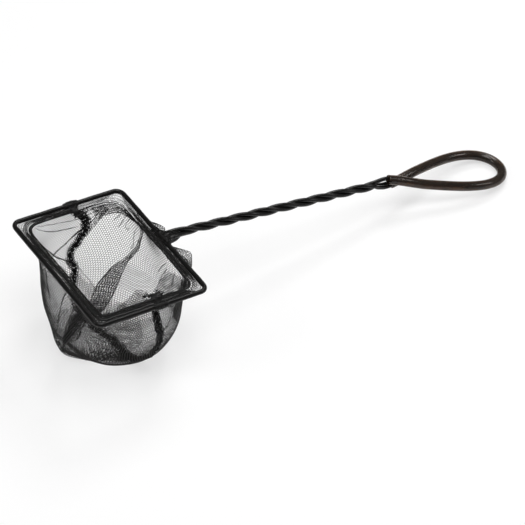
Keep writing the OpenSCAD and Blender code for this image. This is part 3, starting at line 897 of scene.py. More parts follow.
def net_piece(name, points, triangles, material=NETTING, radius=THREAD_R):
    """Netting whose cells lie round the corners of a mesh of triangles."""
    sizes = {"Thread_Radius": radius, "Sides": 3, "Capped": False, "Finish": material}
    return grown(new_piece(name, points, faces=triangles), NET_TREE, **sizes)


# Each wave has its height, its length round the wall, its share and length down it, and its phase's share.
RIPPLE_WAVES = ((1, 5.1, 0.6, 7, 1), (1, 8.7, -1, 9.5, 2.1), (0.6, -12, 1, 4.3, 3.7))


def ripple(g, t, phase):
    """A gentle unevenness of hanging cloth, from a few slanted waves with lengths in millimetres."""
    return sum(
        height * np.sin(g / (along * MM) + slant * t / (down * MM) + share * phase)
        for height, along, slant, down, share in RIPPLE_WAVES
    )


def waves(table, q, angle=0):
    """Waves along a length. Each has its height, its length in millimetres and its share of an angle."""
    return sum(height * np.sin(q / (length * MM) + share * angle) for height, length, share in table)


# %% Pleats
LAYER_GAP = 0.35 * MM
PLEAT_EASE = 4 * MM


class Pleat:
    """A pleat down a panel: at each depth, its middle on the wall and its width."""

    def __init__(self, *rows):
        self.t, self.middle, self.width = np.array(rows).T * MM

    def at(self, t):
        return np.interp(t, self.t, self.middle), np.interp(t, self.t, self.width)

    def folded(self, s, t):
        """Place on the wall and layers inward for flat places s."""
        middle, width = self.at(t)
        turn = middle + width / 2
        back = (s > turn) & (s <= turn + width)
        past = s > turn + width
        g = np.where(back, 2 * turn - s, np.where(past, s - 2 * width, s))
        over = 1 - eased((g - turn) / PLEAT_EASE)
        layer = np.where(back, 1.0, np.where(past, 2 * over, 0.0)) * np.clip(width / MM, 0, 1)
        return g, layer


RIPPLE_HEIGHT = 0.32 * MM
RIPPLE_START = 12 * MM
FLOOR_GAP = 0.25 * MM


def on_wall(wall, g, t, inward, phase):
    """Cloth on a wall with its ripple, which fades out at the hem, the seams and the floor."""
    left, right = wall.reach(t)
    edge = np.minimum(g - left, right - g)
    fade = eased(t / RIPPLE_START) * eased(edge / RIPPLE_START)
    points = wall.place(g, t, inward + RIPPLE_HEIGHT * ripple(g, t, phase) * fade)
    points[:, 2] = np.maximum(points[:, 2], FLOOR_GAP + inward * (points[:, 2] < FLOOR_GAP + MM))
    return points


def panel_net(name, wall, pleats, phase):
    """One panel of netting with its pleats, and its flat cut as width, depth and area."""
    room = max(2 * p.width.max() for p in pleats) + CELL
    low = (-wall.left_reach.max() - CELL, 0)
    high = (wall.right_reach.max() + room * len(pleats), wall.depth[-1])
    flat, triangles = flat_cells(low, high)
    s, t = flat.T
    t = np.clip(t, 0, wall.depth[-1])
    g, inward = s, np.zeros(len(s))
    for pleat in pleats:
        g, layer = pleat.folded(g, t)
        inward = inward + layer * LAYER_GAP
    left, right = wall.reach(t)
    (g, t, inward), triangles = kept([g, t, inward], triangles, (g >= left) & (g <= right))
    obj = net_piece(name, on_wall(wall, g, t, inward, phase), triangles)
    area = len(triangles) * CELL**2 * np.sqrt(3) / 4
    return obj, (high[0] - low[0], high[1]), area


# Each pleat's rows are its depth, its middle and its width, in millimetres.
HANDLE_PLEATS = [Pleat(
    (0, -17, 0), (8, -19, 0.8), (14, -20.3, 1), (26, -22.7, 2.1), (39, -29.1, 3.8),
    (45, -31.4, 8), (54, -31.4, 12.6), (62, -28.5, 12.4), (72, -25, 12), (88, -20, 12),
)]
FAR_PLEATS = [Pleat((0, 24, 0), (12, 21, 4), (18, 22, 8), (40, 11, 6), (58, 2, 3), (66, 0, 0), (98, 0, 0))]
far_net, far_flat, far_area = panel_net("far_net", far_wall, FAR_PLEATS, phase=0.4)
handle_net, handle_flat, handle_area = panel_net("handle_net", handle_wall, HANDLE_PLEATS, phase=1.7)
settle(far_net, "far_panel")
settle(handle_net, "handle_panel")
for side, flat_size in (("far", far_flat), ("handle", handle_flat)):
    print(side, "cut", np.round(np.array(flat_size) / MM), "mm")

# %% [markdown]
# ## Folds and creases
# A net comes folded flat out of its packet, and soft netting keeps that. So there are places where the cloth
# lies doubled, and sharp creases where its threads bunch up to a dark line. The doubled places are further
# flat sheets of the same netting, cut to an outline, and a crease is a few threads that wander side by side.

# %% Doubled places
def inside(points, outline):
    """Which points lie inside a closed outline."""
    found = np.zeros(len(points), bool)
    x, y = points.T
    for (x0, y0), (x1, y1) in zip(outline, np.roll(outline, -1, axis=0)):
        crosses = (y0 > y) != (y1 > y)
        found ^= crosses & (x < x0 + (x1 - x0) * (y - y0) / np.where(y1 == y0, 1, y1 - y0))
    return found


def turned(points, angle, middle):
    c, k = np.cos(angle), np.sin(angle)
    return (points - middle) @ np.array([[c, k], [-k, c]]) + middle


# Each outline is a list of lengths round the wall and down it, in millimetres, with its number of layers.
HANDLE_DOUBLED = [
    (2, [(-58, 0), (-53, 10), (-50, 12), (-46, 11), (-40, 8), (-34, 6.5), (-25, 6.5), (-19, 4), (-15, 0)]),
    (2, [(-47, 2), (-50, 9), (-55, 16), (-58, 20), (-54, 22), (-51, 17), (-47, 13), (-43, 5)]),
    (1, [(-62, 42), (-56, 43), (-50, 48), (-43, 52), (-35, 55), (-30, 70), (-30, 88), (-62, 88)]),
    (1, [(5, 22), (12, 20), (36, 11), (60, 2), (52, 22), (34, 38), (12, 46), (-3, 45), (-1, 36)]),
    (2, [(-14, 53), (-11, 50), (-6, 49), (-3, 52), (-5, 60), (-11, 66), (-18, 72)]),
    (1, [(-20, 12), (-19, 17), (-21, 27), (-26.5, 39), (-26.5, 48), (-24, 57), (-21, 68),
         (-32, 68), (-34.5, 62), (-38, 54), (-36, 45), (-31, 38.5), (-24, 26)]),
    (1, [(-60, 66), (-10, 60), (20, 70), (20, 90), (-66, 90)]),
]
FAR_DOUBLED = [
    (1, [(-50, 70), (-25, 60), (5, 58), (24, 70), (30, 99), (-60, 99)]),
    (1, [(20, 13), (27, 20), (18, 42), (2, 62), (8, 36), (14, 22)]),
]


FIRST_SLANT, LAYER_SLANT, PLACE_SLANT, LAYER_PHASE = 0.35, 0.9, 1.3, 0.7
DOUBLED_RISE, PLACE_RISE = 1.6, 0.5


def doubled_net(name, wall, places, phase):
    """Further layers of netting on the wall, each with its cells turned another way."""
    cuts = []
    for number, (layers, outline) in enumerate(places):
        outline = np.array(outline, float) * MM
        low, high = outline.min(0), outline.max(0)
        middle, room = (low + high) / 2, np.linalg.norm(high - low) / 2
        for layer in range(layers):
            flat, triangles = flat_cells(middle - room, middle + room)
            flat = turned(flat, FIRST_SLANT + LAYER_SLANT * layer + PLACE_SLANT * number, middle)
            g, t = flat.T
            left, right = wall.reach(np.clip(t, 0, wall.depth[-1]))
            keep = inside(flat, outline) & (g > left) & (g < right) & (t > 0) & (t < wall.depth[-1])
            (g, t), triangles = kept([g, t], triangles, keep)
            inward = LAYER_GAP * (DOUBLED_RISE + layer + PLACE_RISE * (number % 2))
            cuts.append((on_wall(wall, g, t, inward, phase + LAYER_PHASE * layer + number), triangles))
    return net_piece(name, *joined(cuts))


far_doubled = doubled_net("far_doubled", far_wall, FAR_DOUBLED, phase=0.8)
handle_doubled = doubled_net("handle_doubled", handle_wall, HANDLE_DOUBLED, phase=2.2)
settle(far_doubled, "far_panel")
settle(handle_doubled, "handle_panel")

# %% Creases
CREASE_R = 0.13 * MM
CREASE_SPREAD = 0.22 * MM
CREASE_STEP, CREASE_PASSES, CREASE_RISE = 0.8 * MM, 6, 0.45 * MM
KNOT_STEPS = 4
# Each crease is its number of threads and its places on the wall, in millimetres.
HANDLE_CREASES = [
    (3, [(-58, 20), (-54, 15), (-51, 12), (-46, 11), (-43, 9), (-40, 8), (-37, 7), (-30, 6.5), (-24, 6.5)]),
    (3, [(-47, 2), (-50, 9), (-52, 12.5), (-55, 17)]),
    (2, [(-43, 4), (-47, 10), (-50, 16), (-54, 22)]),
    (2, [(-60, 4), (-56, 3.5), (-51, 2.5)]),
    (2, [(-58, 9), (-54, 7.5), (-50, 6.5)]),
    (2, [(-57, 14), (-54, 12), (-50, 9.5)]),
    (2, [(-36, 7), (-37.5, 10), (-40, 13)]),
    (2, [(-33, 7), (-34, 12), (-37, 17)]),
    (2, [(-29.5, 7), (-31.5, 11), (-33, 15), (-31.5, 16.5), (-29.5, 15)]),
    (2, [(-21, 7), (-24, 11), (-26, 18), (-25.5, 25), (-27, 29)]),
    (3, [(-18.5, 5), (-20.6, 13), (-23.8, 26), (-30.8, 38.5), (-35.4, 45), (-37.6, 54), (-34.2, 62)]),
    (3, [(-16.5, 6), (-19.9, 17), (-21.7, 27), (-27.5, 39), (-27.3, 48), (-24.3, 57), (-21, 68)]),
    (2, [(12, 20), (12, 28), (14, 37)]),
    (2, [(4, 18), (0, 24), (-3, 30)]),
    (2, [(5, 22), (1, 30), (-1, 37), (-3, 45)]),
    (2, [(-14, 53), (-11, 50), (-6, 49), (-3, 52)]),
    (2, [(-56, 43), (-50, 48), (-43, 52), (-36, 57)]),
    (2, [(20, 16), (25, 30), (22, 48), (24, 60)]),
]
FAR_CREASES = [
    (3, [(-44, 2), (-47, 6), (-51, 10), (-57, 14), (-65, 16), (-73, 17)]),
    (2, [(-46, 2), (-53, 5), (-62, 7.5), (-73, 9.5)]),
    (8, [(-76, 20), (-72, 22), (-62, 29), (-55, 31), (-50, 33)]),
    (8, [(-42, 14), (-45, 18), (-50, 27), (-55, 36), (-62, 43)]),
    (6, [(-17, 5), (-15, 14), (-12, 21), (-10, 28)]),
    (6, [(8, 8), (6.5, 12), (3, 25), (-1, 41)]),
    (2, [(41, 8), (43, 14), (46, 27)]),
    (4, [(25, 14), (20, 30), (10, 46), (1, 61)]),
    (3, [(17, 13), (13, 24), (7, 40), (1, 60)]),
    (2, [(-34, 30), (-30, 48), (-22, 62)]),
    (2, [(34, 40), (26, 56), (14, 68)]),
]


def crease_lines(wall, creases):
    """Each crease is a few threads side by side, which wander about a smooth line."""
    lines = []
    for threads, places in creases:
        flat = np.array([(*p, 0) for p in places], float) * MM
        flat = softened(evenly(flat, CREASE_STEP), CREASE_PASSES)
        steps = np.arange(len(flat)) / KNOT_STEPS
        left, right = wall.reach(flat[:, 1])
        for _ in range(threads):
            knots = rng.normal(0, CREASE_SPREAD, (3, len(flat) // KNOT_STEPS + 2))
            g, t, inward = [np.interp(steps, np.arange(len(k)), k) for k in knots]
            g = np.clip(flat[:, 0] + g, left, right)
            line = wall.place(g, np.maximum(flat[:, 1] + t, 0), CREASE_RISE + inward)
            line[:, 2] = np.maximum(line[:, 2], FLOOR_GAP)
            lines.append(line)
    return lines


def creased(name, wall, creases):
    return lines_piece(name, crease_lines(wall, creases), CREASE_R, NETTING, sides=4)


far_creases = creased("far_creases", far_wall, FAR_CREASES)
handle_creases = creased("handle_creases", handle_wall, HANDLE_CREASES)
settle(far_creases, "far_panel")
settle(handle_creases, "handle_panel")

# %% [markdown]
# ## The hem
# The hem is the panels' top edge, wrapped round the wire, sewn, rolled over and sewn again. So it's a tight
# sleeve of netting on the wire, a strip of open netting beside it, and a band of many layers that looks
# almost black. All follow rounded rectangles in the mouth's plane, so one function places them.

# %% Places round the hem
REFERENCE_INSET = 5.9 * MM
INSETS = np.array([0, 1.5, 3.0, 3.4, 8.4]) * MM
CORNER_RADII = np.array([6.1, 4.6, 3.1, 5.0, 2.5]) * MM
EXTRA_RADII = np.array([0, 0, 0, 1.0, 1.0])
CORNER_EXTRAS = np.array([6.5, 4.0, 0.0, 3.0]) * MM
CORNERS = ((1, 1), (-1, 1), (-1, -1), (1, -1))


def corner_place(inset, corner, angle):
    """A point at an angle round one of a level's corners."""
    extra = CORNER_EXTRAS[corner] * np.interp(inset, INSETS, EXTRA_RADII)
    r = np.interp(inset, INSETS, CORNER_RADII) + extra
    side_x, side_y = CORNERS[corner]
    x, y = MOUTH_W / 2 - inset - r, MOUTH_L / 2 - inset - r
    return side_x * x + r * np.cos(angle), side_y * y + r * np.sin(angle)


def hem_lengths():
    """Lengths of the sides and corners in turn, from the middle of the handle's side."""
    r = np.interp(REFERENCE_INSET, INSETS, CORNER_RADII)
    side_x, side_y = MOUTH_W - 2 * REFERENCE_INSET - 2 * r, MOUTH_L - 2 * REFERENCE_INSET - 2 * r
    arc = np.pi / 2 * r
    return np.array([side_y / 2, arc, side_x, arc, side_y, arc, side_x, arc, side_y / 2])


HEM_LENGTHS = hem_lengths()
HEM_ENDS = np.concatenate([[0], np.cumsum(HEM_LENGTHS)])
HEM_ROUND = HEM_ENDS[-1]
print("hem", round(HEM_ROUND / MM), "mm round")


def hem_part(q):
    """The side or corner that a length round the mouth falls in, and how far along it, as a share."""
    q = np.mod(q, HEM_ROUND)
    part = np.clip(np.searchsorted(HEM_ENDS, q, side="right") - 1, 0, len(HEM_LENGTHS) - 1)
    return part, (q - HEM_ENDS[part]) / HEM_LENGTHS[part]


def hem_table(q, rows):
    """Values from a table at lengths round the mouth. In its first column the handle's middle is 0, and each
    side and each corner is one further."""
    part, share = hem_part(q)
    first, *columns = np.array(rows).T
    return [np.interp(part + share, first, column) for column in columns]


def hem_place(inset, q, height):
    """Points at an inset from the mouth's outer edge, a length q round it and a height over its plane."""
    part, share = hem_part(q)
    stops = [corner_place(inset, k // 2, np.pi / 2 * ((k + 1) // 2)) for k in range(2 * len(CORNERS))]
    handle_middle = (MOUTH_W / 2 - inset, 0 * inset)
    stops = [handle_middle, *stops, handle_middle]
    x, y = np.zeros(len(q)), np.zeros(len(q))
    for number, ((x0, y0), (x1, y1)) in enumerate(zip(stops, stops[1:])):
        corner = number // 2
        if number % 2:
            there = corner_place(inset, corner, np.pi / 2 * (corner + share))
        else:
            there = (x0 + (x1 - x0) * share, y0 + (y1 - y0) * share)
        x, y = np.where(part == number, there[0], x), np.where(part == number, there[1], y)
    return from_mouth(np.stack([x, y, height + 0 * x], 1))


# %% The wrap on the wire
WRAP_D = WIRE_D + 2 * CASING_T
WRAP_INSET = CASING_T + WIRE_D / 2
WRAP_CELL, WRAP_THREAD_R, WRAP_SINK = 0.95 * MM, 0.08 * MM, 0.05 * MM
WRAP_STEP, WRAP_SIDES = 1.0 * MM, 24
WRAP_TIGHTNESS = 0.965
WRAP_LUMPS = ((0.02, 1.9, 2), (0.015, 3.7, -1))


def wrap_place(q, angle, radius):
    """Points round the wire's middle line."""
    return hem_place(WRAP_INSET - radius * np.cos(angle), q, radius * np.sin(angle))


def wrap_radius(q, angle):
    """The wrap is pulled tight, with soft lumps where the cloth is gathered."""
    return WRAP_D / 2 * (WRAP_TIGHTNESS + waves(WRAP_LUMPS, q, angle))


def closed_ring_faces(rings, sides):
    """Quads between rings of points that close on themselves, facing away from their middle line."""
    i, k = np.meshgrid(np.arange(rings), np.arange(sides), indexing="ij")
    a, b = i * sides + k, i * sides + (k + 1) % sides
    c, d = (i + 1) % rings * sides + k, (i + 1) % rings * sides + (k + 1) % sides
    return np.stack([a, c, d, b], -1).reshape(-1, 4)


def hem_rings(step, sides):
    """Evenly spaced rings round the mouth, as their count and their points' lengths and angles."""
    rings = int(HEM_ROUND / step)
    return rings, *ring_grid(np.arange(rings) * HEM_ROUND / rings, sides)


def wrap_skin():
    rings, q, angle = hem_rings(WRAP_STEP, WRAP_SIDES)
    points = wrap_place(q, angle, wrap_radius(q, angle))
    faces = closed_ring_faces(rings, WRAP_SIDES)
    return smooth_shaded(new_piece("hem_wrap", points, faces=faces, material=HEM_CLOTH))


def wrap_net():
    flat, triangles = flat_cells((0, 0), (HEM_ROUND, np.pi * WRAP_D), WRAP_CELL)
    q, angle = flat[:, 0], flat[:, 1] / (WRAP_D / 2)
    points = wrap_place(q, angle, wrap_radius(q, angle) - WRAP_SINK)
    return net_piece("hem_wrap_net", points, triangles, HEM_CLOTH, WRAP_THREAD_R)


hem_wrap, hem_wrap_net = wrap_skin(), wrap_net()
settle(hem_wrap, "hem_casing")
settle(hem_wrap_net, "hem_casing")

# %% The open strip beside the wrap
STRIP_LAYERS = 2
STRIP_OUT, STRIP_IN = 2.8 * MM, 6.2 * MM
STRIP_CELL, STRIP_R = 1.05 * MM, 0.1 * MM
STRIP_TOP, STRIP_RIPPLE = 0.18 * MM, 0.06 * MM
STRIP_LAYER_STEP, STRIP_LAYER_DROP = 0.5 * MM, 0.36 * MM


def strip_layer(layer):
    """A layer of netting from the wire's wrap to under the band, pulled wide at the corners."""
    flat, triangles = flat_cells((STRIP_LAYER_STEP * layer, STRIP_OUT), (HEM_ROUND, STRIP_IN), STRIP_CELL)
    q, cut = flat.T
    share = ((cut - STRIP_OUT) / (STRIP_IN - STRIP_OUT))[:, None]
    height = STRIP_TOP - STRIP_LAYER_DROP * layer + STRIP_RIPPLE * ripple(q, cut, layer)
    return (1 - share) * hem_place(STRIP_OUT, q, height) + share * hem_place(STRIP_IN, q, height), triangles


strip_cut = joined([strip_layer(layer) for layer in range(STRIP_LAYERS)])
hem_strip = settle(net_piece("hem_strip_net", *strip_cut, NETTING, STRIP_R), "hem_casing")

# %% A scrap of loose edge
LOOSE_OUT, LOOSE_ROOM = 6.0 * MM, 7.0 * MM
# How far in from the rail the scrap reaches, in millimetres, at two places on the side far from the handle.
LOOSE_REACH = ((4.2, 10.8), (4.9, 11.2))
LOOSE_LAYERS = 2
LOOSE_STEP_BACK, LOOSE_DROP, LOOSE_SLOPE, LOOSE_RIPPLE = 0.8 * MM, 0.3 * MM, 0.25, 0.15 * MM
LOOSE_SLANT, LOOSE_FINENESS = 0.5, 2
LOOSE_EDGE = ((0.5, 5.3, 2),)


def loose_layer(layer):
    """A layer of a scrap of the hem's raw edge, just inside the band. The sheet is turned across the hem, so
    only a short stretch of it is kept, at the middle of the far side."""
    flat, triangles = flat_cells((0, LOOSE_OUT), (HEM_ROUND, LOOSE_OUT + LOOSE_ROOM))
    q, inset = turned(flat, LOOSE_SLANT + layer, (HEM_ROUND / 2, LOOSE_OUT + LOOSE_ROOM / 2)).T
    (reach,) = hem_table(q, LOOSE_REACH)
    reach = (reach + waves(LOOSE_EDGE, q, layer)) * MM - LOOSE_STEP_BACK * layer
    keep = (q > 0) & (q < HEM_ROUND) & (inset > LOOSE_OUT) & (inset < reach)
    (q, inset), triangles = kept([q, inset], triangles, keep)
    ripples = ripple(LOOSE_FINENESS * q, LOOSE_FINENESS * inset, layer)
    height = LOOSE_RIPPLE * ripples - LOOSE_DROP * (1 + layer)
    return hem_place(inset, q, height - LOOSE_SLOPE * (inset - LOOSE_OUT)), triangles


loose_cut = joined([loose_layer(layer) for layer in range(LOOSE_LAYERS)])
hem_loose = settle(net_piece("hem_loose_net", *loose_cut), "hem_casing")

# %% The rolled band
BAND_OUT = HEM_IN - BAND_W
BAND_LAYERS = 7
BAND_CELL = 1.05 * MM
# How tightly the band is rolled, at places round the mouth: the share of the outer roll, its place across the
# band in millimetres, the share of the inner roll and the share of the layers between them.
ROLL_SHARES = [
    (0.0, 0.9, 1.7, 0.2, 0.7), (0.45, 0.75, 1.9, 0.16, 0.45), (0.7, 0.4, 2.6, 0.3, 0.15),
    (0.95, 0.1, 3.4, 0.3, 0.0), (2.36, 0.1, 3.0, 0.3, 0.0), (2.42, 1.0, 1.5, 1.0, 1.0),
    (2.52, 0.6, 1.4, 0.2, 0.6), (2.9, 0.2, 1.5, 0.4, 0.3), (3.2, 0.12, 1.5, 0.9, 0.3),
    (3.85, 0.15, 1.5, 0.9, 0.3), (4.1, 0.7, 2.1, 0.2, 0.3), (4.6, 0.75, 2.1, 0.18, 0.35),
    (4.95, 0.8, 1.4, 0.3, 0.6), (5.5, 0.95, 1.3, 0.7, 0.9), (6.2, 0.95, 1.1, 0.5, 0.8),
    (6.59, 1.0, 1.2, 1.0, 1.0), (6.75, 0.8, 1.2, 0.3, 0.7), (7.1, 0.2, 1.5, 0.7, 0.3),
    (7.5, 0.12, 2.5, 0.8, 0.15), (8.2, 0.16, 2.5, 0.7, 0.3), (8.55, 0.5, 1.9, 0.25, 0.45),
    (8.8, 0.9, 1.7, 0.25, 0.7), (9.0, 0.9, 1.7, 0.2, 0.7),
]
INNER_ROLL_IN = 4.3 * MM
ROLL_HALF_W, ROLL_HALF_T = 1.0 * MM, 0.55 * MM
ROLL_STEP, ROLL_SIDES = 0.6 * MM, 12
ROLL_WANDER = ((0.18, 7.3, 2), (0.10, 2.9, 5))
ROLL_LUMPS = ((0.07, 0.8, 1), (0.08, 1.7, -2))


def roll_wander(q, number):
    """The rolls wander to and fro a little, as they're rolled by hand."""
    return MM * waves(ROLL_WANDER, q, number)


BAND_SKIN, ROLL_SKIN, ROLL_COVER = 0.12 * MM, 0.06 * MM, 0.9 * ROLL_HALF_W
BAND_RIPPLE, BAND_PHASE = 0.06 * MM, 0.9
BAND_JITTER, BAND_JITTER_RISE = 0.10 * MM, 0.6
BAND_SHAKE = ((0.03, 3.1, 0),)


def band_height(q, across):
    """Height of the band's skin over its middle, raised where the two rolls lie under it."""
    outer, outer_in, inner, _ = hem_table(q, ROLL_SHARES)
    outer = outer * mound(across, outer_in * MM, ROLL_COVER)
    inner = inner * mound(across, INNER_ROLL_IN, ROLL_COVER)
    return BAND_SKIN + (ROLL_HALF_T + ROLL_SKIN) * np.maximum(outer, inner)


def band_net():
    """One long strip, folded forward and back across the band, with fewer folds where it's loose."""
    flat, triangles = flat_cells((0, 0), (HEM_ROUND, BAND_LAYERS * BAND_W), BAND_CELL)
    q, cut = flat.T
    layer = np.clip(np.floor(cut / BAND_W), 0, BAND_LAYERS - 1)
    across = cut / BAND_W - layer
    across = np.where(layer % 2 == 1, 1 - across, across) * BAND_W
    level = (layer - (BAND_LAYERS - 1) / 2) / (BAND_LAYERS / 2)
    jitter = rng.normal(0, BAND_JITTER, (len(q), 2))
    height = level * band_height(q, across) + BAND_RIPPLE * ripple(q, cut, BAND_PHASE)
    height = height + BAND_JITTER_RISE * jitter[:, 1]
    inset = BAND_OUT + across * (1 + waves(BAND_SHAKE, q)) + roll_wander(q, 0) + jitter[:, 0]
    rank = 2 * np.abs(layer - (BAND_LAYERS - 1) / 2) - (layer > BAND_LAYERS / 2)
    keep = rank < BAND_LAYERS * hem_table(q, ROLL_SHARES)[-1]
    (points,), triangles = kept([hem_place(inset, q, height)], triangles, keep)
    return net_piece("hem_roll_net", points, triangles, HEM_CLOTH)


def band_rolls():
    """The two packed rolls, which no light comes through where they're tight."""
    rings, q, angle = hem_rings(ROLL_STEP, ROLL_SIDES)
    lumps = 1 + waves(ROLL_LUMPS, q, angle)
    outer, outer_in, inner, _ = hem_table(q, ROLL_SHARES)
    faces = closed_ring_faces(rings, ROLL_SIDES)
    cuts = []
    for number, (share, middle) in enumerate(((outer, outer_in * MM), (inner, INNER_ROLL_IN))):
        inset = BAND_OUT + middle + roll_wander(q, number) - share * lumps * ROLL_HALF_W * np.cos(angle)
        points = hem_place(inset, q, np.sqrt(share) * lumps * ROLL_HALF_T * np.sin(angle))
        cuts.append((points, faces))
    points, faces = joined(cuts)
    return smooth_shaded(new_piece("hem_roll", points, faces=faces, material=HEM_CLOTH))


hem_roll, hem_roll_net = band_rolls(), band_net()
settle(hem_roll, "hem_band")
settle(hem_roll_net, "hem_band")

# %% Stitches round the band
STITCH_PITCH = 2.4 * MM
STITCH_R, STITCH_POINTS = 0.17 * MM, 7
STITCH_ROWS = (2.0 * MM, 4.2 * MM)
STITCH_GAP, STITCH_SHARE, STITCH_SWAY = 0.08, 0.84, 0.12 * MM
STITCH_ARCH, STITCH_SINK = 0.30 * MM, 0.18 * MM


def stitch_lines():
    """Two rows of stitches, each a low arch over the band that dips in at its ends."""
    lines = []
    u = np.linspace(0, 1, STITCH_POINTS)
    height = BAND_T / 2 + STITCH_ARCH * np.sin(np.pi * u) - STITCH_SINK
    for row, inset in enumerate(STITCH_ROWS):
        for k in range(int(HEM_ROUND / STITCH_PITCH)):
            q = (k + 0.5 * row + STITCH_GAP + STITCH_SHARE * u) * STITCH_PITCH
            lines.append(hem_place(BAND_OUT + inset + rng.normal(0, STITCH_SWAY) * u, q, height))
    return lines


hem_stitches = lines_piece("hem_stitches", stitch_lines(), STITCH_R, THREAD)
settle(hem_stitches, "hem_thread")

# %% [markdown]
# ## The seam
# The panels' raw edges are caught together with an overlock stitch, and stand inside the bag as a ragged
# black strip. Close up it's a crumple of several layers with loops of thread round its edges.

# %% The seam's line
SEAM_W, SEAM_T = 4.9 * MM, 0.8 * MM
SEAM_RISE = MESH_T + 2 * CLOTH_FIT
SEAM_STEP = 0.5 * MM
SEAM_START, SEAM_POINTS, FOOT_POINTS, SEAM_PASSES = 1.5 * MM, 240, 30, 8
FOOT_H, FOOT_LIFT, WALL_LIFT_SHARE, TURN_PASSES = 6 * MM, 40 * MM, 0.15, 12
SEAM_FLOOR_GAP = 0.2 * MM
BAG_MIDDLE = np.array([-FOOT_DRIFT / 2, 0, 0.6 * MOUTH_H])
SEAM_SWAY = ((0.6, 4.7, 0), (0.35, 1.5, 1))
LEFT_TACK_X, RIGHT_TACK_X = 3 * MM, 5 * MM
SEAM_TOPS = ((LEFT_TACK_X, 1), (RIGHT_TACK_X, -1))
SEAM_TOP_IN, SEAM_TOP_DROP = 4.5 * MM, 0.9 * MM


def seam_side(left):
    """The seam's line down one wall."""
    depth = np.linspace(SEAM_START, far_wall.depth[-1], SEAM_POINTS)
    return far_wall.place(far_wall.reach(depth)[0 if left else 1], depth)


def seam_line():
    left, right = seam_side(True), seam_side(False)[::-1]
    foot = np.linspace(left[-1], right[0], FOOT_POINTS)[1:-1]
    aside = MOUTH_L / 2 - SEAM_TOP_IN
    first, last = from_mouth([(x, side * aside, -SEAM_TOP_DROP) for x, side in SEAM_TOPS])
    line = np.concatenate([[first], left, foot, right, [last]])
    return softened(evenly(line, SEAM_STEP), SEAM_PASSES)


def seam_frame(line):
    """The ways across the seam and inwards at each of its points."""
    along = np.gradient(line, axis=0)
    along /= np.linalg.norm(along, axis=1, keepdims=True)
    inwards = BAG_MIDDLE - line
    inwards[:, 2] = np.where(line[:, 2] < FOOT_H, FOOT_LIFT, WALL_LIFT_SHARE * inwards[:, 2])
    inwards = softened(inwards, TURN_PASSES)
    inwards -= (inwards * along).sum(1, keepdims=True) * along
    inwards /= np.linalg.norm(inwards, axis=1, keepdims=True)
    return np.cross(along, inwards), inwards


SEAM_LINE = seam_line()
SEAM_ACROSS, SEAM_INWARDS = seam_frame(SEAM_LINE)
SEAM_L = SEAM_STEP * (len(SEAM_LINE) - 1)
print("seam", round(SEAM_L / MM), "mm long")


def seam_place(length, across, rise):
    """Points by length along the seam, across it and above the cloth."""
    index = np.clip(length / SEAM_STEP, 0, len(SEAM_LINE) - 1)

    def at(table):
        return np.stack([np.interp(index, np.arange(len(table)), table[:, k]) for k in range(3)], -1)

    points = at(SEAM_LINE) + across[..., None] * at(SEAM_ACROSS) + rise[..., None] * at(SEAM_INWARDS)
    points[..., 2] = np.maximum(points[..., 2], SEAM_FLOOR_GAP)
    return points


def seam_sway(length):
    """How far the strip wanders to each side."""
    return MM * waves(SEAM_SWAY, length, 1)


# %% The seam's layers
SEAM_LAYERS = 4
CORE_SIDES = 12
SEAM_CELL, SEAM_LOWEST = 1.4 * MM, 0.25 * MM
SEAM_RAGGED, SEAM_RIPPLE, SEAM_FINENESS = 0.34 * MM, 0.18 * MM, 4
SEAM_LAYER_RISE, LAYER_TAPER = 0.3 * MM, 0.07
CORE_STEP, CORE_SHARE, CORE_HALF_T = 0.45 * MM, 0.30, 0.42 * MM
CORE_LUMPS = ((0.22, 0.6, 0), (0.14, 1.9, 1))
CORE_HEIGHTS = ((0.25, 0.9, 1),)
CORE_LIFT = 0.15 * MM


def seam_layer(layer):
    """One crumpled layer of the panels' raw edges."""
    half = SEAM_W / 2 * (1.0 - LAYER_TAPER * layer)
    flat, triangles = flat_cells((SEAM_LAYER_RISE * layer, -half), (SEAM_L, half), SEAM_CELL)
    length, across = flat.T
    ragged = rng.normal(0, SEAM_RAGGED, (3, len(length)))
    crumple = ripple(SEAM_FINENESS * length, SEAM_FINENESS * across, layer)
    rise = SEAM_LOWEST + SEAM_LAYER_RISE * layer + SEAM_RIPPLE * crumple
    aside = across + ragged[1] + seam_sway(length)
    return seam_place(length + ragged[0], aside, rise + ragged[2]), triangles


def seam_core():
    """The dense middle of the seam, uneven all along."""
    rings = int(SEAM_L / CORE_STEP)
    length, angle = ring_grid(np.linspace(0, SEAM_L, rings), CORE_SIDES)
    wide = SEAM_W / 2 * (CORE_SHARE + waves(CORE_LUMPS, length, angle))
    rise = CORE_HALF_T * np.sin(angle) * (1 + waves(CORE_HEIGHTS, length, angle)) + CORE_LIFT
    points = seam_place(length, seam_sway(length) - wide * np.cos(angle), SEAM_RISE + rise)
    faces = capped_faces(rings, CORE_SIDES)
    return smooth_shaded(new_piece("seam_roll", points, faces=faces, material=HEM_CLOTH))


# %% The overlock stitch
LOCK_PITCH = 1.05 * MM
LOCK_R = 0.19 * MM
LOCK_POINTS, LOCK_SLANT, LOCK_UNEVEN, LOCK_LIFT = 13, 0.6, 0.2, 0.1 * MM
LOCK_START, LOCK_SHARE = 0.2, 0.75
LOCK_FOOT, LOCK_ARCH, LOCK_BLUNTNESS = 0.15, 0.95, 0.7
EDGE_STEP, EDGE_WAVE, EDGE_SWING, EDGE_UNEVEN = 0.6 * MM, 0.2 * MM, 0.09, 0.05
EDGE_MIDDLE, EDGE_BOB = 0.5, 0.3


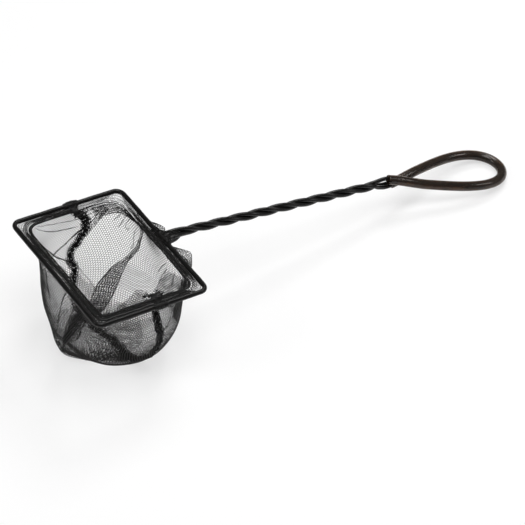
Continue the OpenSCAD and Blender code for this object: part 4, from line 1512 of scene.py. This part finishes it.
def overlock_lines():
    """Loops of thread that go slantwise over the strip and round its edges."""
    lines = []
    u = np.linspace(0, 1, LOCK_POINTS)
    for k in range(int(SEAM_L / LOCK_PITCH) - 1):
        slant, reach = rng.normal(0, LOCK_SLANT), 1 + rng.normal(0, LOCK_UNEVEN)
        length = (k + LOCK_START + (LOCK_SHARE + slant) * u) * LOCK_PITCH
        across = SEAM_W / 2 * reach * -np.cos(np.pi * u)
        arch = LOCK_FOOT + LOCK_ARCH * np.sin(np.pi * u) ** LOCK_BLUNTNESS
        rise = SEAM_T * arch + LOCK_LIFT * rng.normal()
        lines.append(seam_place(length, across + seam_sway(length), SEAM_RISE + rise))
    edge = np.arange(0, SEAM_L, EDGE_STEP)
    for side in (-1, 1):
        ragged = EDGE_UNEVEN * rng.normal(size=len(edge))
        across = side * SEAM_W / 2 * (1 + EDGE_SWING * np.sin(edge / EDGE_WAVE) + ragged)
        rise = SEAM_RISE + SEAM_T * (EDGE_MIDDLE + EDGE_BOB * np.cos(edge / EDGE_WAVE))
        lines.append(seam_place(edge, across + seam_sway(edge), rise))
    return lines


seam_cut = joined([seam_layer(layer) for layer in range(SEAM_LAYERS)])
seam_layers, seam_roll = net_piece("seam_net", *seam_cut, HEM_CLOTH), seam_core()
seam_lock = lines_piece("seam_overlock", overlock_lines(), LOCK_R, THREAD, sides=5)
settle(seam_layers, "seam_band")
settle(seam_roll, "seam_band")
settle(seam_lock, "seam_thread")

# %% The bar tacks
TACK_L, TACK_T = 9 * MM, 0.8 * MM
TACK_TURNS, TACK_TURN_POINTS = 30, 14
TACK_FIT, TACK_LEAST, TACK_SWELL, TACK_EVEN = 0.15 * MM, 0.25, 0.6, 0.7
# Each beat has its height and its number of waves for each winding.
TACK_SWAY, TACK_BEAT = (0.3 * MM, 2.3), (0.3, 5.1)
PASSES = 3
TACK_R = 0.24 * MM


def beating(angle, beat):
    height, rate = beat
    return height * np.sin(rate * angle)


def there_and_back(u, angle, middle, length, sway):
    """Windings that go along, back and along again, and sway with a beat."""
    away = np.abs(2 * np.mod(PASSES / 2 * u, 1) - 1) - 0.5
    return middle + length * away + beating(angle, sway)


def tack_line(x, side):
    """Thread wound back and forth round the wrapped wire, thicker in the middle."""
    u = np.linspace(0, 1, TACK_TURNS * TACK_TURN_POINTS)
    angle = 2 * np.pi * TACK_TURNS * u
    along = there_and_back(u, angle, x, TACK_L, TACK_SWAY)
    swell = TACK_LEAST + TACK_SWELL * np.clip(1 - (2 * (along - x) / TACK_L) ** 2, 0, 1)
    radius = WRAP_D / 2 + TACK_FIT + TACK_T * swell * (TACK_EVEN + beating(angle, TACK_BEAT))
    y = side * (RAIL_Y - radius * np.cos(angle))
    return from_mouth(np.stack([along, y, radius * np.sin(angle)], 1))


HEM_TACK_TURNS, HEM_TACK_TURN_POINTS = 15, 16
HEM_TACK_L, HEM_TACK_SWAY = 7 * MM, (0.35 * MM, 1.7)
HEM_TACK_MIDDLE, HEM_TACK_HALF, HEM_TACK_BEAT = 4.1 * MM, 4.5 * MM, (0.05, 3.7)
HEM_TACK_NARROWING, HEM_TACK_RISE, HEM_TACK_RISE_BEAT = 0.45, 1.15, (0.25, 4.3)


def hem_tack_line(x, side):
    """The same thread wound over the whole width of the hem, closer together at its inner edge."""
    u = np.linspace(0, 1, HEM_TACK_TURNS * HEM_TACK_TURN_POINTS)
    angle = 2 * np.pi * HEM_TACK_TURNS * u
    inset = HEM_TACK_MIDDLE - HEM_TACK_HALF * np.cos(angle) * (1 + beating(angle, HEM_TACK_BEAT))
    spread = 1 - HEM_TACK_NARROWING * inset / (2 * HEM_TACK_MIDDLE)
    along = there_and_back(u, angle, x, HEM_TACK_L * spread, HEM_TACK_SWAY)
    height = (HEM_TACK_RISE + beating(angle, HEM_TACK_RISE_BEAT)) * MM * np.sin(angle)
    return from_mouth(np.stack([along, side * (MOUTH_L / 2 - inset), height], 1))


TANGLE_STEP, TANGLE_PASSES, TANGLE_SHARE = 0.25 * MM, 10, 0.5


def tangle(start, end, size, knots):
    """A loose knot of thread ends, which wanders from one place to another and back on itself."""
    first, last = from_mouth(np.array([start, end]) * MM)
    middle = first + (last - first) * np.linspace(0, 1, knots)[:, None]
    places = rng.normal(0, TANGLE_SHARE, (knots, 3)) * np.asarray(size) * MM
    return softened(evenly(middle + places, TANGLE_STEP), TANGLE_PASSES)


# Each tangle has its start, its end and its spread in millimetres, and its number of turns.
TANGLES = [
    ((3, 43, -0.5), (7, 41, -2), (3.5, 1.6, 1.6), 40),
    ((5.5, -44, 0.5), (8.5, -38.5, -0.5), (3.6, 2.0, 1.6), 190),
    ((7, -40, 0), (1, -37, -1.0), (2.2, 1.2, 1.2), 60),
]
tack_lines = [wound(x, side) for wound in (tack_line, hem_tack_line) for x, side in SEAM_TOPS]
tack_lines += [tangle(*facts) for facts in TANGLES]
tacks = settle(lines_piece("tack_windings", tack_lines, TACK_R, THREAD), "bar_tacks")

# %% [markdown]
# ## The neck and the loose cloth beside it
# At the handle the two ends of the wire leave the hem, and its cloth is gathered round both bends to a dark
# lump. Beside the lump the netting stands out from the rail in two small flaps. The lump is a short tube
# round the rail that swells outwards, and the flaps are flat cuts with a curved free edge.

# %% The gather at the neck
GATHER_FROM, GATHER_TO = -6.6 * MM, 9.2 * MM
GATHER_MIDDLE, GATHER_HALF = 1.2 * MM, 4.6 * MM
GATHER_REACH = 3.7 * MM
GATHER_R = 1.62 * MM
TONGUE_HALF, TONGUE_REACH = 2.0 * MM, 7.0 * MM
GATHER_FOLDS = ((0.07, 0.45, 2), (0.05, 0.8, -3))
GATHER_RINGS, GATHER_SIDES = 80, 28
GATHER_NET_OUT, GATHER_NET_ROOM, GATHER_JITTER = 0.12 * MM, 1.0 * MM, 0.12 * MM
TONGUE_THINNING, GATHER_DROP, GATHER_LIFT = 0.3, 0.25, 0.08


def gather_place(y, angle, outward):
    """Points round the rail that swell out towards the handle at the middle."""
    from_middle = np.abs(y - GATHER_MIDDLE)
    tongue = np.exp(-((from_middle / TONGUE_HALF) ** 4))
    reach = GATHER_REACH * np.exp(-((from_middle / GATHER_HALF) ** 3)) + TONGUE_REACH * tongue
    thick = GATHER_R * (1 + waves(GATHER_FOLDS, y, angle))
    x = RAIL_X + reach / 2 + (thick + reach / 2 + outward) * np.cos(angle)
    lift = (thick * (1 - TONGUE_THINNING * tongue) + GATHER_LIFT * reach + outward) * np.sin(angle)
    return from_mouth(np.stack([x, y, lift - GATHER_DROP * NECK_DROP * reach / GATHER_REACH], 1))


def neck_gather():
    y, angle = ring_grid(np.linspace(GATHER_FROM, GATHER_TO, GATHER_RINGS), GATHER_SIDES)
    points, faces = gather_place(y, -angle, 0), capped_faces(GATHER_RINGS, GATHER_SIDES)
    return smooth_shaded(new_piece("neck_gather", points, faces=faces, material=HEM_CLOTH))


def neck_net():
    around = 2 * np.pi * (GATHER_R + GATHER_NET_ROOM)
    flat, triangles = flat_cells((GATHER_FROM, 0), (GATHER_TO, around), BAND_CELL)
    jitter = rng.normal(0, GATHER_JITTER, len(flat))
    angle = 2 * np.pi * flat[:, 1] / around
    points = gather_place(flat[:, 0], angle, GATHER_NET_OUT + np.abs(jitter))
    return net_piece("neck_gather_net", points, triangles, HEM_CLOTH)


neck_lump, neck_lump_net = neck_gather(), neck_net()
settle(neck_lump, "hem_casing")
settle(neck_lump_net, "hem_casing")

# %% The two flaps
# Each flap has its ends along the rail, how far it stands out, where its peak is and how far it droops.
UPPER_FLAP = (3.0 * MM, 19 * MM, 7.0 * MM, 0.35, 1.5 * MM)
LOWER_FLAP = (-6.5 * MM, -29 * MM, 10.0 * MM, 0.42, 6.0 * MM)
FLAP_START = RAIL_X + 0.8 * MM
FLAP_DROP, FLAP_LEAST, FLAP_CURVE = 0.5 * MM, 0.4 * MM, 0.8
FLAP_RIPPLE, FLAP_FINENESS, FLAP_PHASE = 0.25 * MM, 3, 0.7
FLAP_SAG, FLAP_RETURN = 0.25, 0.4


def flap_reach(share, peak):
    """How far a flap stands out along the rail, as a share, with its peak nearer one end."""
    rise, fall = np.clip(share / peak, 0, 1), np.clip((1 - share) / (1 - peak), 0, 1)
    return np.minimum(rise, fall) ** FLAP_CURVE


def flap_net(name, facts):
    """Netting that goes out from the rail to a curved edge and comes back below it."""
    low_y, high_y, reach, peak, droop = facts
    length = abs(high_y - low_y)
    flat, triangles = flat_cells((0, 0), (length, 2 * reach))
    share, there = flat[:, 0] / length, flat[:, 1] / reach
    here = reach * flap_reach(share, peak)
    out = np.where(there < 1, there, 2 - there)
    sag = droop * here / reach * (FLAP_SAG * out**2 + np.where(there > 1, 1 - FLAP_RETURN * out, 0))
    height = FLAP_RIPPLE * ripple(*(FLAP_FINENESS * flat.T), FLAP_PHASE) - FLAP_DROP - sag
    points = from_mouth(np.stack([FLAP_START + here * out, low_y + (high_y - low_y) * share, height], 1))
    (points,), triangles = kept([points], triangles, here > FLAP_LEAST)
    return net_piece(name, points, triangles)


upper_flap = settle(flap_net("upper_flap_net", UPPER_FLAP), "handle_panel")
lower_flap = settle(flap_net("lower_flap_net", LOWER_FLAP), "handle_panel")

# %% The cloth of each panel
FAR_PIECES = [
    far_doubled, far_creases, hem_wrap, hem_wrap_net, hem_strip, hem_loose, hem_roll, hem_roll_net,
    hem_stitches,
]
HANDLE_PIECES = [
    handle_doubled, handle_creases, seam_layers, seam_roll, seam_lock, tacks, neck_lump, neck_lump_net,
    upper_flap, lower_flap,
]
for net, flat_size, area, others in (
    (far_net, far_flat, far_area, FAR_PIECES),
    (handle_net, handle_flat, handle_area, HANDLE_PIECES),
):
    print(net.name, "cloth of", round(area / CM2, 1), "square centimetres with", len(others), "more pieces")
